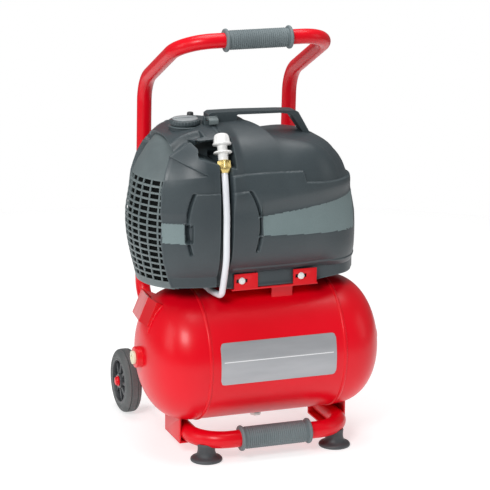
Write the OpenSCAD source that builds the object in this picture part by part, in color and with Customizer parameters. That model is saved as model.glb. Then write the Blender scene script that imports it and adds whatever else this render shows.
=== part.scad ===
// Portable rotary vane vacuum unit: a pump and motor under a moulded shroud, standing on a
// horizontal vacuum tank that rolls on two wheels and is steered by a bent tube handle.
// Frame: +X to the operator's right along the tank, +Y to the rear, +Z up, ground at z = 0,
// origin under the middle of the bounding box.

/* [Tank] */
// Outer diameter of the vacuum tank
tank_d = 252; // [250:1:254]
// Length of the straight part of the tank between its girth welds
tank_l = 263; // [260:1:266]
// Depth of each domed tank head
head_depth = 98; // [96:1:99]
// Sheet thickness of the tank
tank_wall = 2.5; // [2:0.5:3]
// Height of the tank axis above the ground
tank_z = 185.3; // [184:0.1:187]
// Distance of the tank axis in front of the origin
tank_front = 85.6; // [85:0.1:87]

/* [Wheels and feet] */
// Outer diameter of the rubber tyres
wheel_d = 125; // [124:1:126]
// Width of a wheel
wheel_w = 32; // [30:1:32]
// Distance between the outer faces of the two wheels
track_w = 400.6; // [398:0.2:404]
// Diameter of the wheel axle
axle_d = 12; // [10:1:14]
// Base diameter of the rubber feet
foot_d = 60; // [52:1:64]

/* [Handle and front tube] */
// Outer diameter of the handle tube
handle_d = 28; // [26:1:30]
// Height of the handle's top bar
handle_z = 768; // [750:1:790]
// Distance of each handle upright from the middle
handle_x = 147.6; // [146:0.2:149]
// Outer diameter of the front tube
front_d = 32; // [30:1:32]
// Height of the front tube
front_z = 41.2; // [41:0.1:44]

/* [Shroud] */
// Length of the shroud along the tank
shroud_l = 440; // [436:1:444]
// Depth of the shroud from front to rear
shroud_w = 280; // [276:1:284]
// Height of the top of the shroud above the ground
shroud_top = 618; // [617:0.5:618]
// Wall thickness of the shroud mouldings
shroud_wall = 3; // [2.5:0.5:4]

/* [Pump and motor] */
// Height of the pump and motor shaft above the ground
shaft_z = 440; // [436:1:444]
// Diameter of the shaft
shaft_d = 20; // [18:1:24]
// Diameter of the pump rotor
rotor_d = 66; // [60:1:66]
// Number of vanes in the pump rotor
vane_count = 4; // [3:1:6]
// Number of blades on the cooling fan
fan_blades = 9; // [6:1:12]

/* [Hidden] */

$fn = 64;
fit_gap = 0.05;            // radial clearance of every running fit
sheet = 3;                 // thickness of the bracket and base plate sheet
tank_r = tank_d / 2;
tank_y = -tank_front;
half_shell = tank_l / 2;
head_end = half_shell + head_depth;
boss_end = 240;            // how far the tank bosses reach from the middle
boss_r = 20;
port_r = 10.5;             // half-inch pipe thread, minor radius
plate_t = 0.8;             // thickness of the nameplate
front_y = tank_y - tank_r - plate_t;
wheel_r = wheel_d / 2;
axle_y = -front_y - wheel_r;
axle_z = wheel_r;
wheel_out = track_w / 2;
wheel_in = wheel_out - wheel_w;
tyre_in_r = 45;

// Placement helpers ---------------------------------------------------------------------

// Runs a child drawn along +Z along +X instead
module along_x(at = [0, 0, 0]) { translate(at) rotate([0, 90, 0]) children(); }

// Draws the children once on the right and once mirrored on the left
module both_sides() { children(); mirror([1, 0, 0]) children(); }

// Solid of revolution around the tank axis, profile given as [radius, x]
module about_tank() { translate([0, tank_y, tank_z]) rotate([0, 90, 0]) rotate_extrude() children(); }

// Straight rod of radius r from a to b
module rod(a, b, r) {
    d = b - a;
    translate(a)
        rotate([0, acos(d.z / norm(d)), atan2(d.y, d.x)])
            cylinder(r = r, h = norm(d));
}

function unit(v) = v / norm(v);
function turn(a, b, c) = acos(max(-1, min(1, unit(b - a) * unit(c - b))));
// How far before corner b a bend of radius rad starts
function setback(a, b, c, rad) = rad * tan(turn(a, b, c) / 2);

// Bend of radius rad at corner b of a rod that runs from a to c
module elbow(a, b, c, r, rad) {
    u = unit(b - a);
    v = unit(c - b);
    n = unit(v - (u * v) * u);
    start = b - u * setback(a, b, c, rad);
    centre = start + n * rad;
    w = cross(-n, u);
    multmatrix([
        [-n.x, u.x, w.x, centre.x],
        [-n.y, u.y, w.y, centre.y],
        [-n.z, u.z, w.z, centre.z]
    ])
        rotate_extrude(angle = turn(a, b, c)) translate([rad, 0]) circle(r = r + bend_swell);
}

// Round bar bent through points p; bends[i] is the bend radius at point i
bend_swell = 0.03;         // a bend is this much fatter than the straight it joins
overlap = 0.4;             // and the straight runs this far into it
module bent_rod(p, bends, r) {
    last = len(p) - 1;
    for (i = [0 : last - 1]) {
        dir = unit(p[i + 1] - p[i]);
        cut_a = i == 0 ? 0 : setback(p[i - 1], p[i], p[i + 1], bends[i]) - overlap;
        cut_b = i == last - 1 ? 0 : setback(p[i], p[i + 1], p[i + 2], bends[i + 1]) - overlap;
        rod(p[i] + dir * cut_a, p[i + 1] - dir * cut_b, r);
    }
    for (i = [1 : last - 1]) elbow(p[i - 1], p[i], p[i + 1], r, bends[i]);
}

// Tank ----------------------------------------------------------------------------------

head_steps = 14;
// Radius of a head at share t of its depth
function head_r(t, r) = r * pow(1 - pow(t, 2.6), 1 / 2.2);
// Outline of one head from the weld to the apex, as [radius, x]
function head_line(r, depth) =
    [for (i = [0 : head_steps]) let (t = sin(90 * i / head_steps)) [head_r(t, r), half_shell + depth * t]];

module head_profile() {
    outer = head_line(tank_r, head_depth);
    inner = head_line(tank_r - tank_wall, head_depth - tank_wall);
    polygon(concat(outer, [for (i = [head_steps : -1 : 0]) inner[i]]));
}

// The whole tank as a solid, used to trim what is welded on it
module tank_solid() {
    about_tank()
        polygon(concat(
            [[0, -head_end]],
            [for (p = [for (i = [head_steps : -1 : 0]) head_line(tank_r, head_depth)[i]]) [p.x, -p.y]],
            head_line(tank_r, head_depth)));
}

module tank_shell() {
    color("crimson")
        difference() {
            about_tank() translate([tank_r - tank_wall, -half_shell]) square([tank_wall, tank_l]);
            // Hole under the tank fitting
            translate([fitting_x, tank_y, tank_z]) cylinder(r = 8, h = tank_r + 5);
            // Hole over the drain plug
            translate([0, tank_y, tank_z - tank_r - 5]) cylinder(r = 8, h = tank_r / 2);
        }
}

module tank_head() {
    color("crimson")
        difference() {
            about_tank() head_profile();
            along_x([half_shell, tank_y, tank_z]) cylinder(r = boss_r, h = 2 * head_depth);
        }
}
module tank_head_right() { tank_head(); }
module tank_head_left() { mirror([1, 0, 0]) tank_head(); }

// Threaded socket welded into the middle of a head
boss_l = 22;
module tank_boss() {
    color("crimson")
        along_x([boss_end - boss_l, tank_y, tank_z])
            difference() {
                cylinder(r = boss_r, h = boss_l);
                translate([0, 0, -1]) cylinder(r = port_r, h = boss_l + 2);
            }
}
module tank_boss_right() { tank_boss(); }
module tank_boss_left() { mirror([1, 0, 0]) tank_boss(); }

plug_out = 5;
module port_plug() {
    color("wheat")
        mirror([1, 0, 0])
            along_x([boss_end, tank_y, tank_z])
                difference() {
                    union() {
                        translate([0, 0, -16]) cylinder(r = port_r, h = 16);
                        cylinder(r = 12.5, h = plug_out);
                    }
                    translate([0, 0, plug_out - 3]) cylinder(r = 5, h = 4, $fn = 6);
                }
}

module drain_plug() {
    color("silver")
        translate([0, tank_y, tank_z - tank_r]) {
            translate([0, 0, -3]) cylinder(r = 8, h = 3 + tank_wall);
            translate([0, 0, -11]) cylinder(r = 11, h = 8, $fn = 6);
        }
}

label_l = 226;
label_h = 80;
label_tilt = 4;            // the plate's middle sits this far above the tank's front line
module nameplate() {
    span = label_h / tank_r * 180 / PI;
    color("silver")
        intersection() {
            translate([0, tank_y, tank_z])
                rotate([label_tilt, 0, 0])
                    rotate([0, 90, 0])
                        difference() {
                            cylinder(r = tank_r + plate_t, h = label_l, center = true);
                            cylinder(r = tank_r, h = label_l + 2, center = true);
                        }
            translate([-label_l / 2, tank_y - tank_r - 10, tank_z + tank_r * sin(label_tilt - span / 2)])
                cube([label_l, tank_r, tank_r * (sin(label_tilt + span / 2) - sin(label_tilt - span / 2))]);
        }
}

// Brackets ------------------------------------------------------------------------------

// Flat strip in the YZ plane from a to b, standing w wide towards the middle from x
module strip(a, b, x, w) {
    d = b - a;
    translate([x - w, a.x, a.y])
        rotate([atan2(d.y, d.x), 0, 0])
            cube([w, norm(d), sheet]);
}

axle_web_x = 150;
axle_flange_w = 28;
axle_web = [[172, 44], [172, 82], [34, 150], [-24, 90], [-12, 60]];
module axle_bracket() {
    color("crimson")
        difference() {
            union() {
                translate([axle_web_x - sheet, 0, 0])
                    rotate([90, 0, 90])
                        linear_extrude(sheet) polygon(axle_web);
                strip([-12, 60], [172, 44], axle_web_x, axle_flange_w);
            }
            tank_solid();
            along_x([axle_web_x - 10, axle_y, axle_z]) cylinder(r = axle_d / 2, h = 20);
        }
}
module axle_bracket_right() { axle_bracket(); }
module axle_bracket_left() { mirror([1, 0, 0]) axle_bracket(); }

front_web_x = 166;
front_bracket_l = 88;
front_bracket_w = 42;
leg_x = front_web_x - sheet - front_d / 2;
bar_y = -187.8;
front_bend = 62;
bracket_y = bar_y + front_bend - 3;
front_flange_z = front_z - front_d / 2 - sheet;
module front_bracket() {
    color("crimson")
        difference() {
            union() {
                translate([front_web_x - sheet, bracket_y, front_flange_z])
                    cube([sheet, front_bracket_l, 60]);
                translate([front_web_x - front_bracket_w, bracket_y, front_flange_z])
                    cube([front_bracket_w, front_bracket_l, sheet]);
                translate([front_web_x - front_bracket_w, bracket_y + front_bracket_l - sheet, front_flange_z])
                    cube([front_bracket_w, sheet, 60]);
            }
            tank_solid();
        }
}
module front_bracket_right() { front_bracket(); }
module front_bracket_left() { mirror([1, 0, 0]) front_bracket(); }

// Channel that grips the end of the handle tube, leaning with the tank head behind it
lean = 22;
clamp_x = 172.5;
clamp_z = 234;
clamp_y = 12;
clamp_l = 92;
clamp_h = 51;
clamp_depth = 46;
tube_offset = 25;          // from the outer face of the channel to the tube's middle
socket_x = clamp_x - tube_offset * cos(lean);
socket_z = clamp_z - tube_offset * sin(lean);
module handle_bracket() {
    color("crimson")
        difference() {
            translate([clamp_x, clamp_y, clamp_z])
                rotate([0, -lean, 0])
                    translate([0, 0, -clamp_h / 2]) {
                        translate([-sheet, 0, 0]) cube([sheet, clamp_l, clamp_h]);
                        translate([-clamp_depth, 0, 0]) cube([clamp_depth, clamp_l, sheet]);
                        translate([-clamp_depth, 0, clamp_h - sheet]) cube([clamp_depth, clamp_l, sheet]);
                        translate([-clamp_depth, 0, 0]) cube([clamp_depth, sheet, clamp_h]);
                        translate([-tube_offset, clamp_l / 2, clamp_h / 2 - 8])
                            cube([tube_offset - sheet, clamp_l / 3, 16]);
                    }
            tank_solid();
            rod([handle_x, 0, socket_z], [handle_x, 300, socket_z], handle_d / 2);
        }
}
module handle_bracket_right() { handle_bracket(); }

// Slanted block spanned by three edge vectors from a corner
module slab(corner, u, v, w) {
    translate(corner)
        multmatrix([[u.x, v.x, w.x], [u.y, v.y, w.y], [u.z, v.z, w.z]]) cube(1);
}

// On the left a folded plate reaches from the socket forward round the upper side of the
// tank head, and turns in to meet the head at its front end
wing_line = [[-182, 104, 214], [-221, -61, 246], [-221, -112, 249.5]];
wing_rise = [19, 0, 44];
wing_web = [20, 0, -8];
wing_turn_in = [37, 0, -16];
module handle_bracket_left() {
    mirror([1, 0, 0]) handle_bracket();
    color("crimson")
        difference() {
            union() {
                for (i = [0, 1]) {
                    run = wing_line[i + 1] - wing_line[i];
                    outward = unit(cross(run, wing_rise)) * sheet;
                    slab(wing_line[i], run * (i == 0 ? 1.01 : 1), wing_rise, outward);
                }
                slab(wing_line[0], wing_web, wing_rise, [0, -sheet, 0]);
                slab(wing_line[2], wing_turn_in, wing_rise, [0, sheet, 0]);
            }
            tank_solid();
            rod([-handle_x, 0, socket_z], [-handle_x, 300, socket_z], handle_d / 2);
        }
}

// Axle and wheels -----------------------------------------------------------------------

axle_end = wheel_out + 5;
module axle() {
    color("silver")
        along_x([-axle_end, axle_y, axle_z]) cylinder(r = axle_d / 2, h = 2 * axle_end);
}

// Push-on caps outside the wheels and washers inside them
module axle_caps() {
    color("silver")
        both_sides()
            along_x([0, axle_y, axle_z]) {
                translate([0, 0, wheel_out + 0.4])
                    difference() {
                        cylinder(r = 10, h = 6);
                        translate([0, 0, -1]) cylinder(r = axle_d / 2, h = axle_end - wheel_out + 0.6);
                    }
                translate([0, 0, axle_web_x])
                    difference() {
                        cylinder(r = 11, h = wheel_in - axle_web_x - 0.4);
                        translate([0, 0, -1]) cylinder(r = axle_d / 2, h = 40);
                    }
            }
}

module tyre() {
    edge = 7;
    color("dimgray")
        along_x([wheel_in, axle_y, axle_z])
            rotate_extrude()
                difference() {
                    translate([tyre_in_r, 0]) square([wheel_r - tyre_in_r, wheel_w]);
                    for (end = [0, 1])
                        translate([0, end * wheel_w])
                            mirror([0, end])
                                difference() {
                                    translate([wheel_r - edge, -1]) square([edge + 1, edge + 1]);
                                    translate([wheel_r - edge, edge]) circle(r = edge);
                                }
                }
}
module tyre_right() { tyre(); }
module tyre_left() { mirror([1, 0, 0]) tyre(); }

spokes = 8;
hub_r = 15;
rim_in_r = 41;
module rim() {
    color("#202428")
        along_x([wheel_in, axle_y, axle_z])
            difference() {
                union() {
                    difference() {
                        cylinder(r = tyre_in_r, h = wheel_w);
                        translate([0, 0, -1]) cylinder(r = rim_in_r, h = wheel_w + 2);
                    }
                    cylinder(r = hub_r, h = wheel_w);
                    for (i = [0 : spokes - 1])
                        rotate([0, 0, i * 360 / spokes])
                            translate([hub_r - 2, -3, 6]) cube([rim_in_r - hub_r + 4, 6, wheel_w - 12]);
                }
                translate([0, 0, -1]) cylinder(r = axle_d / 2 + fit_gap, h = wheel_w + 2);
            }
}
module rim_right() { rim(); }
module rim_left() { mirror([1, 0, 0]) rim(); }

// Front tube and feet -------------------------------------------------------------------

leg_end = bracket_y + front_bracket_l - sheet - 25;
module front_tube() {
    color("crimson")
        bent_rod([
            [-leg_x, leg_end, front_z],
            [-leg_x, bar_y, front_z],
            [leg_x, bar_y, front_z],
            [leg_x, leg_end, front_z]
        ], [0, front_bend, front_bend, 0], front_d / 2);
}

// Ribbed rubber sleeve on a bar along X, with a flange at each end
module grip(at, l, bar_r, body_r, flange_r) {
    rib = 4;
    count = floor((l - 20) / rib);
    first = -(count * rib - rib / 2) / 2;
    color("slategray")
        along_x(at)
            difference() {
                union() {
                    cylinder(r = body_r - 1, h = l, center = true);
                    for (i = [0 : count - 1])
                        translate([0, 0, first + i * rib]) cylinder(r = body_r, h = rib / 2);
                    for (end = [-1, 1])
                        translate([0, 0, end * (l / 2 - 3)]) cylinder(r = flange_r, h = 6, center = true);
                }
                cylinder(r = bar_r, h = l + 2, center = true);
            }
}
module front_grip() { grip([0, bar_y, front_z], 138, front_d / 2, 21, 24); }

foot_x = 127.8;
foot_y = bar_y + front_bend - sqrt(pow(front_bend, 2) - pow(foot_x - leg_x + front_bend, 2));
foot_h = front_z - front_d / 2 + 3;
module foot() {
    color("#30363a")
        difference() {
            translate([foot_x, foot_y, 0])
                rotate_extrude()
                    polygon([
                        [4, 4], [foot_d / 2 - 8, 0], [foot_d / 2 - 2, 0], [foot_d / 2, 2],
                        [foot_d / 2 - 2, 6], [foot_d / 2 - 11, 10], [17, 15], [16, 20],
                        [16, foot_h], [4, foot_h]
                    ]);
            front_tube();
        }
}
module foot_right() { foot(); }
module foot_left() { mirror([1, 0, 0]) foot(); }

module foot_screws() {
    color("silver")
        both_sides()
            difference() {
                translate([foot_x, foot_y, 4]) cylinder(r = 4, h = foot_h - 4);
                front_tube();
            }
}

// Handle --------------------------------------------------------------------------------

upright_y = 138.3;         // at the upper bend
upright_lean = 0.047;      // how far the uprights run back for each millimetre down
upper_z = 660.5;
bar_top_y = -80;
socket_bend = 42;
low_y = upright_y + upright_lean * (upper_z - socket_z);
module handle_tube() {
    color("crimson")
        bent_rod([
            [-handle_x, 44, socket_z],
            [-handle_x, low_y, socket_z],
            [-handle_x, upright_y, upper_z],
            [-handle_x, bar_top_y, handle_z],
            [handle_x, bar_top_y, handle_z],
            [handle_x, upright_y, upper_z],
            [handle_x, low_y, socket_z],
            [handle_x, 44, socket_z]
        ], [0, socket_bend, 70, 62, 62, 70, socket_bend, 0], handle_d / 2);
}
module handle_grip() { grip([0, bar_top_y, handle_z], 129, handle_d / 2, 18, 21.5); }

// Base plate ----------------------------------------------------------------------------

base_z = 321;              // top of the plate
base_x0 = -76;
base_x1 = 92;
ear_y = -163;              // front face of the upturned ears
tab_reach = 62;            // the tabs stand this far from the tank axis
ear_w = 46;
ear_top = 349;
stud_z = 336;
ears = [-72, 44];          // left edge of each ear
stud_r = 6.5;
tab_z = 292;
mount_x = [-60, 78];
mount_y = [-110, -35];
mount_h = 22;
bolt_r = 4;
base_back = -8;
module base_plate() {
    color("crimson")
        difference() {
            union() {
                translate([base_x0, ear_y, base_z - sheet])
                    cube([base_x1 - base_x0, base_back - ear_y, sheet]);
                for (x = ears)
                    translate([x, ear_y, base_z - sheet]) cube([ear_w, sheet, ear_top - base_z + sheet]);
                // Tabs welded to the tank, one in front and two behind
                translate([7, tank_y - tab_reach, tab_z]) cube([41, sheet, base_z - tab_z]);
                for (x = [-60, 35])
                    translate([x, tank_y + tab_reach - sheet, tab_z]) cube([40, sheet, base_z - tab_z]);
                // Tab for the cable gland, below the rear lip of the shroud
                translate([-30, base_back - sheet, gland_z - 14]) cube([36, sheet, base_z - gland_z + 14]);
            }
            tank_solid();
            // Slots behind the studs
            for (x = ears)
                translate([x + 4, ear_y - 1, stud_z - 3.5]) cube([22, sheet + 2, 7]);
            translate([gland_x, base_back - 10, gland_z]) rotate([-90, 0, 0]) cylinder(r = 8, h = 20);
            for (x = mount_x, y = mount_y)
                translate([x, y, base_z - 10]) cylinder(r = bolt_r, h = 20);
        }
}

module shroud_studs() {
    color("white")
        for (x = ears)
            translate([x + 15, ear_y, stud_z])
                rotate([90, 0, 0]) {
                    cylinder(r = stud_r, h = 3);
                    translate([0, 0, -sheet - 1]) cylinder(r = 3, h = sheet + 1);
                }
}

gland_x = -12;
gland_z = 304;
module cable_gland() {
    color("#303030")
        translate([gland_x, base_back, gland_z])
            rotate([-90, 0, 0])
                difference() {
                    union() {
                        translate([0, 0, -sheet - 6]) cylinder(r = 8, h = 26);
                        cylinder(r = 12, h = 6, $fn = 6);
                        translate([0, 0, 6]) cylinder(r = 10.5, h = 14);
                    }
                    translate([0, 0, -20]) cylinder(r = 4.5, h = 60);
                }
}

// Shroud --------------------------------------------------------------------------------

shroud_x = -21;            // middle of the shroud
shroud_y = -55;
shroud_mid_z = 440;        // height of its widest section
half_l = shroud_l / 2;
half_w = shroud_w / 2;
lip_z = 350;               // below this height the wall drops straight
lip_bottom = 321.5;
drop = 112;                // half-height of the section below its widest point
hump = 26;                 // how much higher the top is on the left than on the right
ring_points = 25;
floor_points = 9;          // section points from the front lip up to the top of the groove's floor
cover_points = 11;         // and up to where the mouldings meet again over the top
section_power = 2.6;
groove_depth = 18;
skin = 0.3;                // a lap joint starts this far below the surface
cap_share = -0.768;        // grille joint, as a share of the half-length
groove_a = -0.391;         // the two sides of the groove for the vacuum tube
groove_b = -0.300;

function smooth(t) = let (c = max(0, min(1, t))) c * c * (3 - 2 * c);
function signed_pow(v, e) = sign(v) * pow(abs(v), e);
function taper(share, power) = pow(1 - pow(abs(share), power), 1 / power);
// Height of the section above its widest point at share s of the half-length
function rise(s) = shroud_top - shroud_mid_z - hump * smooth((s * half_l + 22) / 60);
// Angle at which the section reaches the lip, or nearly closes below
function lip_angle(depth) =
    let (ratio = (shroud_mid_z - lip_z) / depth)
    ratio < 1 ? -asin(pow(ratio, section_power / 2)) : -86;
// Point j of the section at share s, with the wall moved inwards by t
function section_point(s, j, t) =
    let (depth = (drop - min(t, shroud_wall)) * taper(s, 7))
    let (low = lip_angle(depth))
    let (last = ring_points - 1)
    let (k = min(max(j, 1), last - 1) - 1)
    let (a = low + (180 - 2 * low) * k / (last - 2))
    let (up = sin(a) > 0 ? (rise(s) - t) * taper(s, 2.65) : depth)
    let (y = shroud_y - (half_w - t) * taper(s, 2.9) * signed_pow(cos(a), 2 / section_power))
    let (z = shroud_mid_z + up * signed_pow(sin(a), 2 / section_power))
    let (edge = low > -86 ? lip_bottom : z - 1)
    [shroud_x + (half_l - t * pow(abs(s), 4)) * s, y, (j == 0 || j == last) ? edge : z];

// Curved sheet between the given stations, from section point j0 to j1 and from depth t0 to t1
module shroud_sheet(stations, t0 = 0, t1 = shroud_wall, j0 = 0, j1 = ring_points - 1) {
    rows = len(stations);
    cols = j1 - j0 + 1;
    points = [for (t = [t0, t1], s = stations, j = [j0 : j1]) section_point(s, j, t)];
    function at(l, i, j) = (l * rows + i) * cols + j;
    // The two faces, the two long edges and the two ends
    skins = [for (i = [0 : rows - 2], j = [0 : cols - 2]) each [
        [at(0, i, j), at(0, i + 1, j), at(0, i + 1, j + 1)],
        [at(0, i, j), at(0, i + 1, j + 1), at(0, i, j + 1)],
        [at(1, i, j), at(1, i + 1, j + 1), at(1, i + 1, j)],
        [at(1, i, j), at(1, i, j + 1), at(1, i + 1, j + 1)]
    ]];
    edges = [for (i = [0 : rows - 2]) each [
        [at(0, i, 0), at(1, i, 0), at(1, i + 1, 0)],
        [at(0, i, 0), at(1, i + 1, 0), at(0, i + 1, 0)],
        [at(0, i, cols - 1), at(1, i + 1, cols - 1), at(1, i, cols - 1)],
        [at(0, i, cols - 1), at(0, i + 1, cols - 1), at(1, i + 1, cols - 1)]
    ]];
    ends = [for (j = [0 : cols - 2]) each [
        [at(0, 0, j), at(1, 0, j + 1), at(1, 0, j)],
        [at(0, 0, j), at(0, 0, j + 1), at(1, 0, j + 1)],
        [at(0, rows - 1, j), at(1, rows - 1, j), at(1, rows - 1, j + 1)],
        [at(0, rows - 1, j), at(1, rows - 1, j + 1), at(0, rows - 1, j + 1)]
    ]];
    polyhedron(points, concat(skins, edges, ends), convexity = 8);
}

// Shares from a to b, closer together towards the ends of the shroud
function stations(a, b, n) =
    [for (i = [0 : n]) sin(asin(a) + (asin(b) - asin(a)) * i / n)];

// Space kept free for the elbow fitting and its nut
module fitting_pocket() {
    translate([elbow_top.x - 19, -215, 545]) cube([38, 98, 61]);
}

// Holes in the mouldings for the knob's bezel and the reset button
module top_holes() {
    translate([knob_x, knob_y, 560]) cylinder(r = bezel_r, h = 80);
    translate([button_x, button_y, 580]) cylinder(r = button_r + 3, h = 60);
}

module shroud_left() {
    color("darkslategray")
        difference() {
            union() {
                shroud_sheet(stations(cap_share, groove_a, 4));
                // Floor of the groove for the vacuum tube
                shroud_sheet([groove_a, groove_b], groove_depth, groove_depth + shroud_wall, 0, floor_points);
            }
            fitting_pocket();
            top_holes();
        }
}
module shroud_right() {
    color("darkslategray")
        difference() {
            union() {
                shroud_sheet(stations(groove_b, 0.9999, 12));
                // Over the top and down the back this moulding reaches across to the left one
                shroud_sheet([groove_a, groove_b + 0.012], skin, shroud_wall - skin, cover_points, ring_points - 1);
            }
            fitting_pocket();
            top_holes();
        }
}
module intake_grille() {
    slots = 15;
    pitch = 13;
    color("slategray")
        difference() {
            shroud_sheet(stations(-0.9999, cap_share, 5));
            for (i = [0 : slots - 1])
                translate([shroud_x - half_l - 5, shroud_y - 75, 366 + i * pitch])
                    cube([half_l * (1 + cap_share) + 2, 150, 7]);
        }
}

// Strap handle on top of the shroud, with the hinge of the catch on its root
strap_w = 30;
strap_y = -60;
strap_line = [
    [-92, 618.5], [-92, 631], [-86, 634.5], [-34, 634], [48, 631], [76, 629], [84, 626],
    [112, 577.2], [97, 582.4], [70, 622], [48, 626], [-38, 628], [-38, 618.5]
];
pin_y = -87;
pin_z = 627;
catch_x0 = -102;
catch_x1 = -84;
module carry_handle() {
    color("darkslategray") {
        translate([0, strap_y + strap_w / 2, 0])
            rotate([90, 0, 0]) linear_extrude(strap_w) polygon(strap_line);
        translate([catch_x0 - 4, pin_y - 4, 622]) cube([catch_x1 - catch_x0 + 8, 16, 1.3]);
        for (x = [catch_x0 - 4, catch_x1 + 0.3])
            translate([x, pin_y - 4, 622]) cube([3.7, 8, 9]);
        along_x([catch_x0 - 2, pin_y, pin_z]) cylinder(r = 2, h = catch_x1 - catch_x0 + 4);
    }
}

module shroud_catch() {
    color("darkslategray")
        difference() {
            union() {
                along_x([catch_x0, pin_y, pin_z]) cylinder(r = 3.5, h = catch_x1 - catch_x0);
                translate([catch_x0, pin_y - 18, pin_z - 1]) cube([catch_x1 - catch_x0, 18, 3.5]);
                translate([catch_x0, pin_y - 21, pin_z - 7]) cube([catch_x1 - catch_x0, 3, 9.5]);
            }
            along_x([catch_x0 - 1, pin_y, pin_z]) cylinder(r = 2 + fit_gap, h = 40);
        }
}

// Switch knob and overload button on the left shoulder
knob_x = -135;
knob_y = -67;
knob_r = 28.5;
knob_z = 618;
bezel_r = 30;
bezel_z = 580;             // the bezel reaches down through the moulding to here
stem_r = 5;
button_x = -112;
button_y = -28;
button_r = 6;
module switch_bezel() {
    color("#40484c") {
        translate([knob_x, knob_y, bezel_z])
            difference() {
                cylinder(r = bezel_r - 0.2, h = knob_z - 0.5 - bezel_z);
                translate([0, 0, -1]) cylinder(r = stem_r + fit_gap, h = 60);
            }
        translate([button_x, button_y, 606])
            difference() {
                cylinder(r = button_r + 2.8, h = 18);
                translate([0, 0, -1]) cylinder(r = button_r + fit_gap, h = 40);
            }
    }
}
module switch_knob() {
    color("#8a9498")
        translate([knob_x, knob_y, 0]) {
            translate([0, 0, bezel_z]) cylinder(r = stem_r, h = knob_z + 1 - bezel_z);
            translate([0, 0, knob_z]) cylinder(r = knob_r, h = 7);
            translate([-knob_r + 3, -5, knob_z + 7]) cube([2 * knob_r - 6, 10, 2.5]);
        }
}
module reset_button() {
    color("#202428")
        translate([button_x, button_y, 602]) cylinder(r = button_r, h = 27);
}

// Vacuum line ---------------------------------------------------------------------------

tube_x = -98;
tube_r = 6;
fitting_x = -118;
elbow_top = [-94.4, -150, 611];
tube_top = [-99, -188.7, 527.7];
nut_start = 50;            // the nut begins this far down the fitting's axis
branch_z = 596;            // the branch into the shroud
tube_line = [
    tube_top, [tube_x, -194, 469], [tube_x, -193, 386], [tube_x, -178, 341],
    [tube_x - 1, -170, 313], [-106, -128, 313], [fitting_x, -106, 326], [fitting_x, -97, 326]
];

// Draws a child made along +Z on the line from a to b, starting at a
module on_line(a, b) {
    d = b - a;
    translate(a) rotate([0, acos(d.z / norm(d)), atan2(d.y, d.x)]) children();
}

module elbow_fitting() {
    color("gainsboro") {
        on_line(elbow_top, tube_top) {
            cylinder(r = 12, h = 4);
            translate([0, 0, 4]) cylinder(r = 15, h = 13);
            translate([0, 0, 17]) cylinder(r = 16.5, h = 4);
            translate([0, 0, 21]) cylinder(r = 9, h = 12);
            translate([0, 0, 33]) cylinder(r = 16.5, h = 3.5);
            translate([0, 0, 36.5]) cylinder(r = 9, h = nut_start - 36.5);
        }
        rod([elbow_top.x, -156, branch_z], [elbow_top.x, -118, branch_z], 8);
    }
}
module tube_nut() {
    color("goldenrod")
        on_line(elbow_top, tube_top)
            translate([0, 0, nut_start])
                difference() {
                    union() {
                        cylinder(r = 14, h = 16, $fn = 6);
                        translate([0, 0, 16]) cylinder(r = 10.5, h = 7);
                    }
                    translate([0, 0, -1]) cylinder(r = tube_r, h = 40);
                }
}
module vacuum_tube() {
    color("whitesmoke")
        bent_rod(concat([elbow_top + unit(tube_top - elbow_top) * (nut_start + 0.5)], tube_line),
            [0, 100, 180, 100, 60, 14, 16, 8, 0], tube_r);
}
module tank_fitting() {
    color("goldenrod")
        difference() {
            union() {
                translate([fitting_x, tank_y, tank_z + tank_r - 2]) cylinder(r = 8, h = 4);
                translate([fitting_x, tank_y, tank_z + tank_r + 0.2]) cylinder(r = 11, h = 24, $fn = 6);
                rod([fitting_x, tank_y, 326], [fitting_x, -104, 326], 9);
            }
            rod([fitting_x, -97, 326], [fitting_x, -120, 326], tube_r);
        }
}

// Metal pipe inside the shroud, from the elbow fitting to the pump
inlet_x = 48;
module inlet_pipe() {
    color("silver")
        bent_rod([
            [elbow_top.x, -113, branch_z], [elbow_top.x, -98, branch_z - 8], [inlet_x, shaft_y, 560],
            [inlet_x, shaft_y, shaft_z + pump_r]
        ], [0, 18, 20, 0], 7);
}

// Motor ---------------------------------------------------------------------------------

shaft_y = -65;
shaft_r = shaft_d / 2;
motor_r = 75;
motor_x0 = -165;
motor_x1 = 5;
bearing_r = 23.5;
bearing_w = 12;
rotor_gap = 0.5;
core_x0 = -125;
core_l = 90;
core_r = 43;

module motor_housing() {
    color("dimgray")
        along_x([motor_x0, shaft_y, shaft_z])
            difference() {
                cylinder(r = motor_r, h = motor_x1 - motor_x0);
                translate([0, 0, bearing_w]) cylinder(r = motor_r - 5, h = motor_x1 - motor_x0 - 2 * bearing_w);
                translate([0, 0, -1]) cylinder(r = bearing_r, h = motor_x1 - motor_x0 + 2);
            }
}
module motor_stator() {
    color("gray")
        along_x([core_x0, shaft_y, shaft_z])
            difference() {
                cylinder(r = motor_r - 5, h = core_l);
                translate([0, 0, -1]) cylinder(r = core_r, h = core_l + 2);
            }
}
module motor_windings() {
    coil = 22;
    color("peru")
        for (x = [core_x0 - coil, core_x0 + core_l])
            along_x([x, shaft_y, shaft_z])
                difference() {
                    cylinder(r = motor_r - 9, h = coil);
                    translate([0, 0, -1]) cylinder(r = core_r + 4, h = coil + 2);
                }
}
module motor_rotor() {
    color("silver")
        along_x([core_x0 + 1, shaft_y, shaft_z])
            difference() {
                cylinder(r = core_r - rotor_gap, h = core_l - 2);
                translate([0, 0, -1]) cylinder(r = shaft_r, h = core_l);
            }
}

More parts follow.
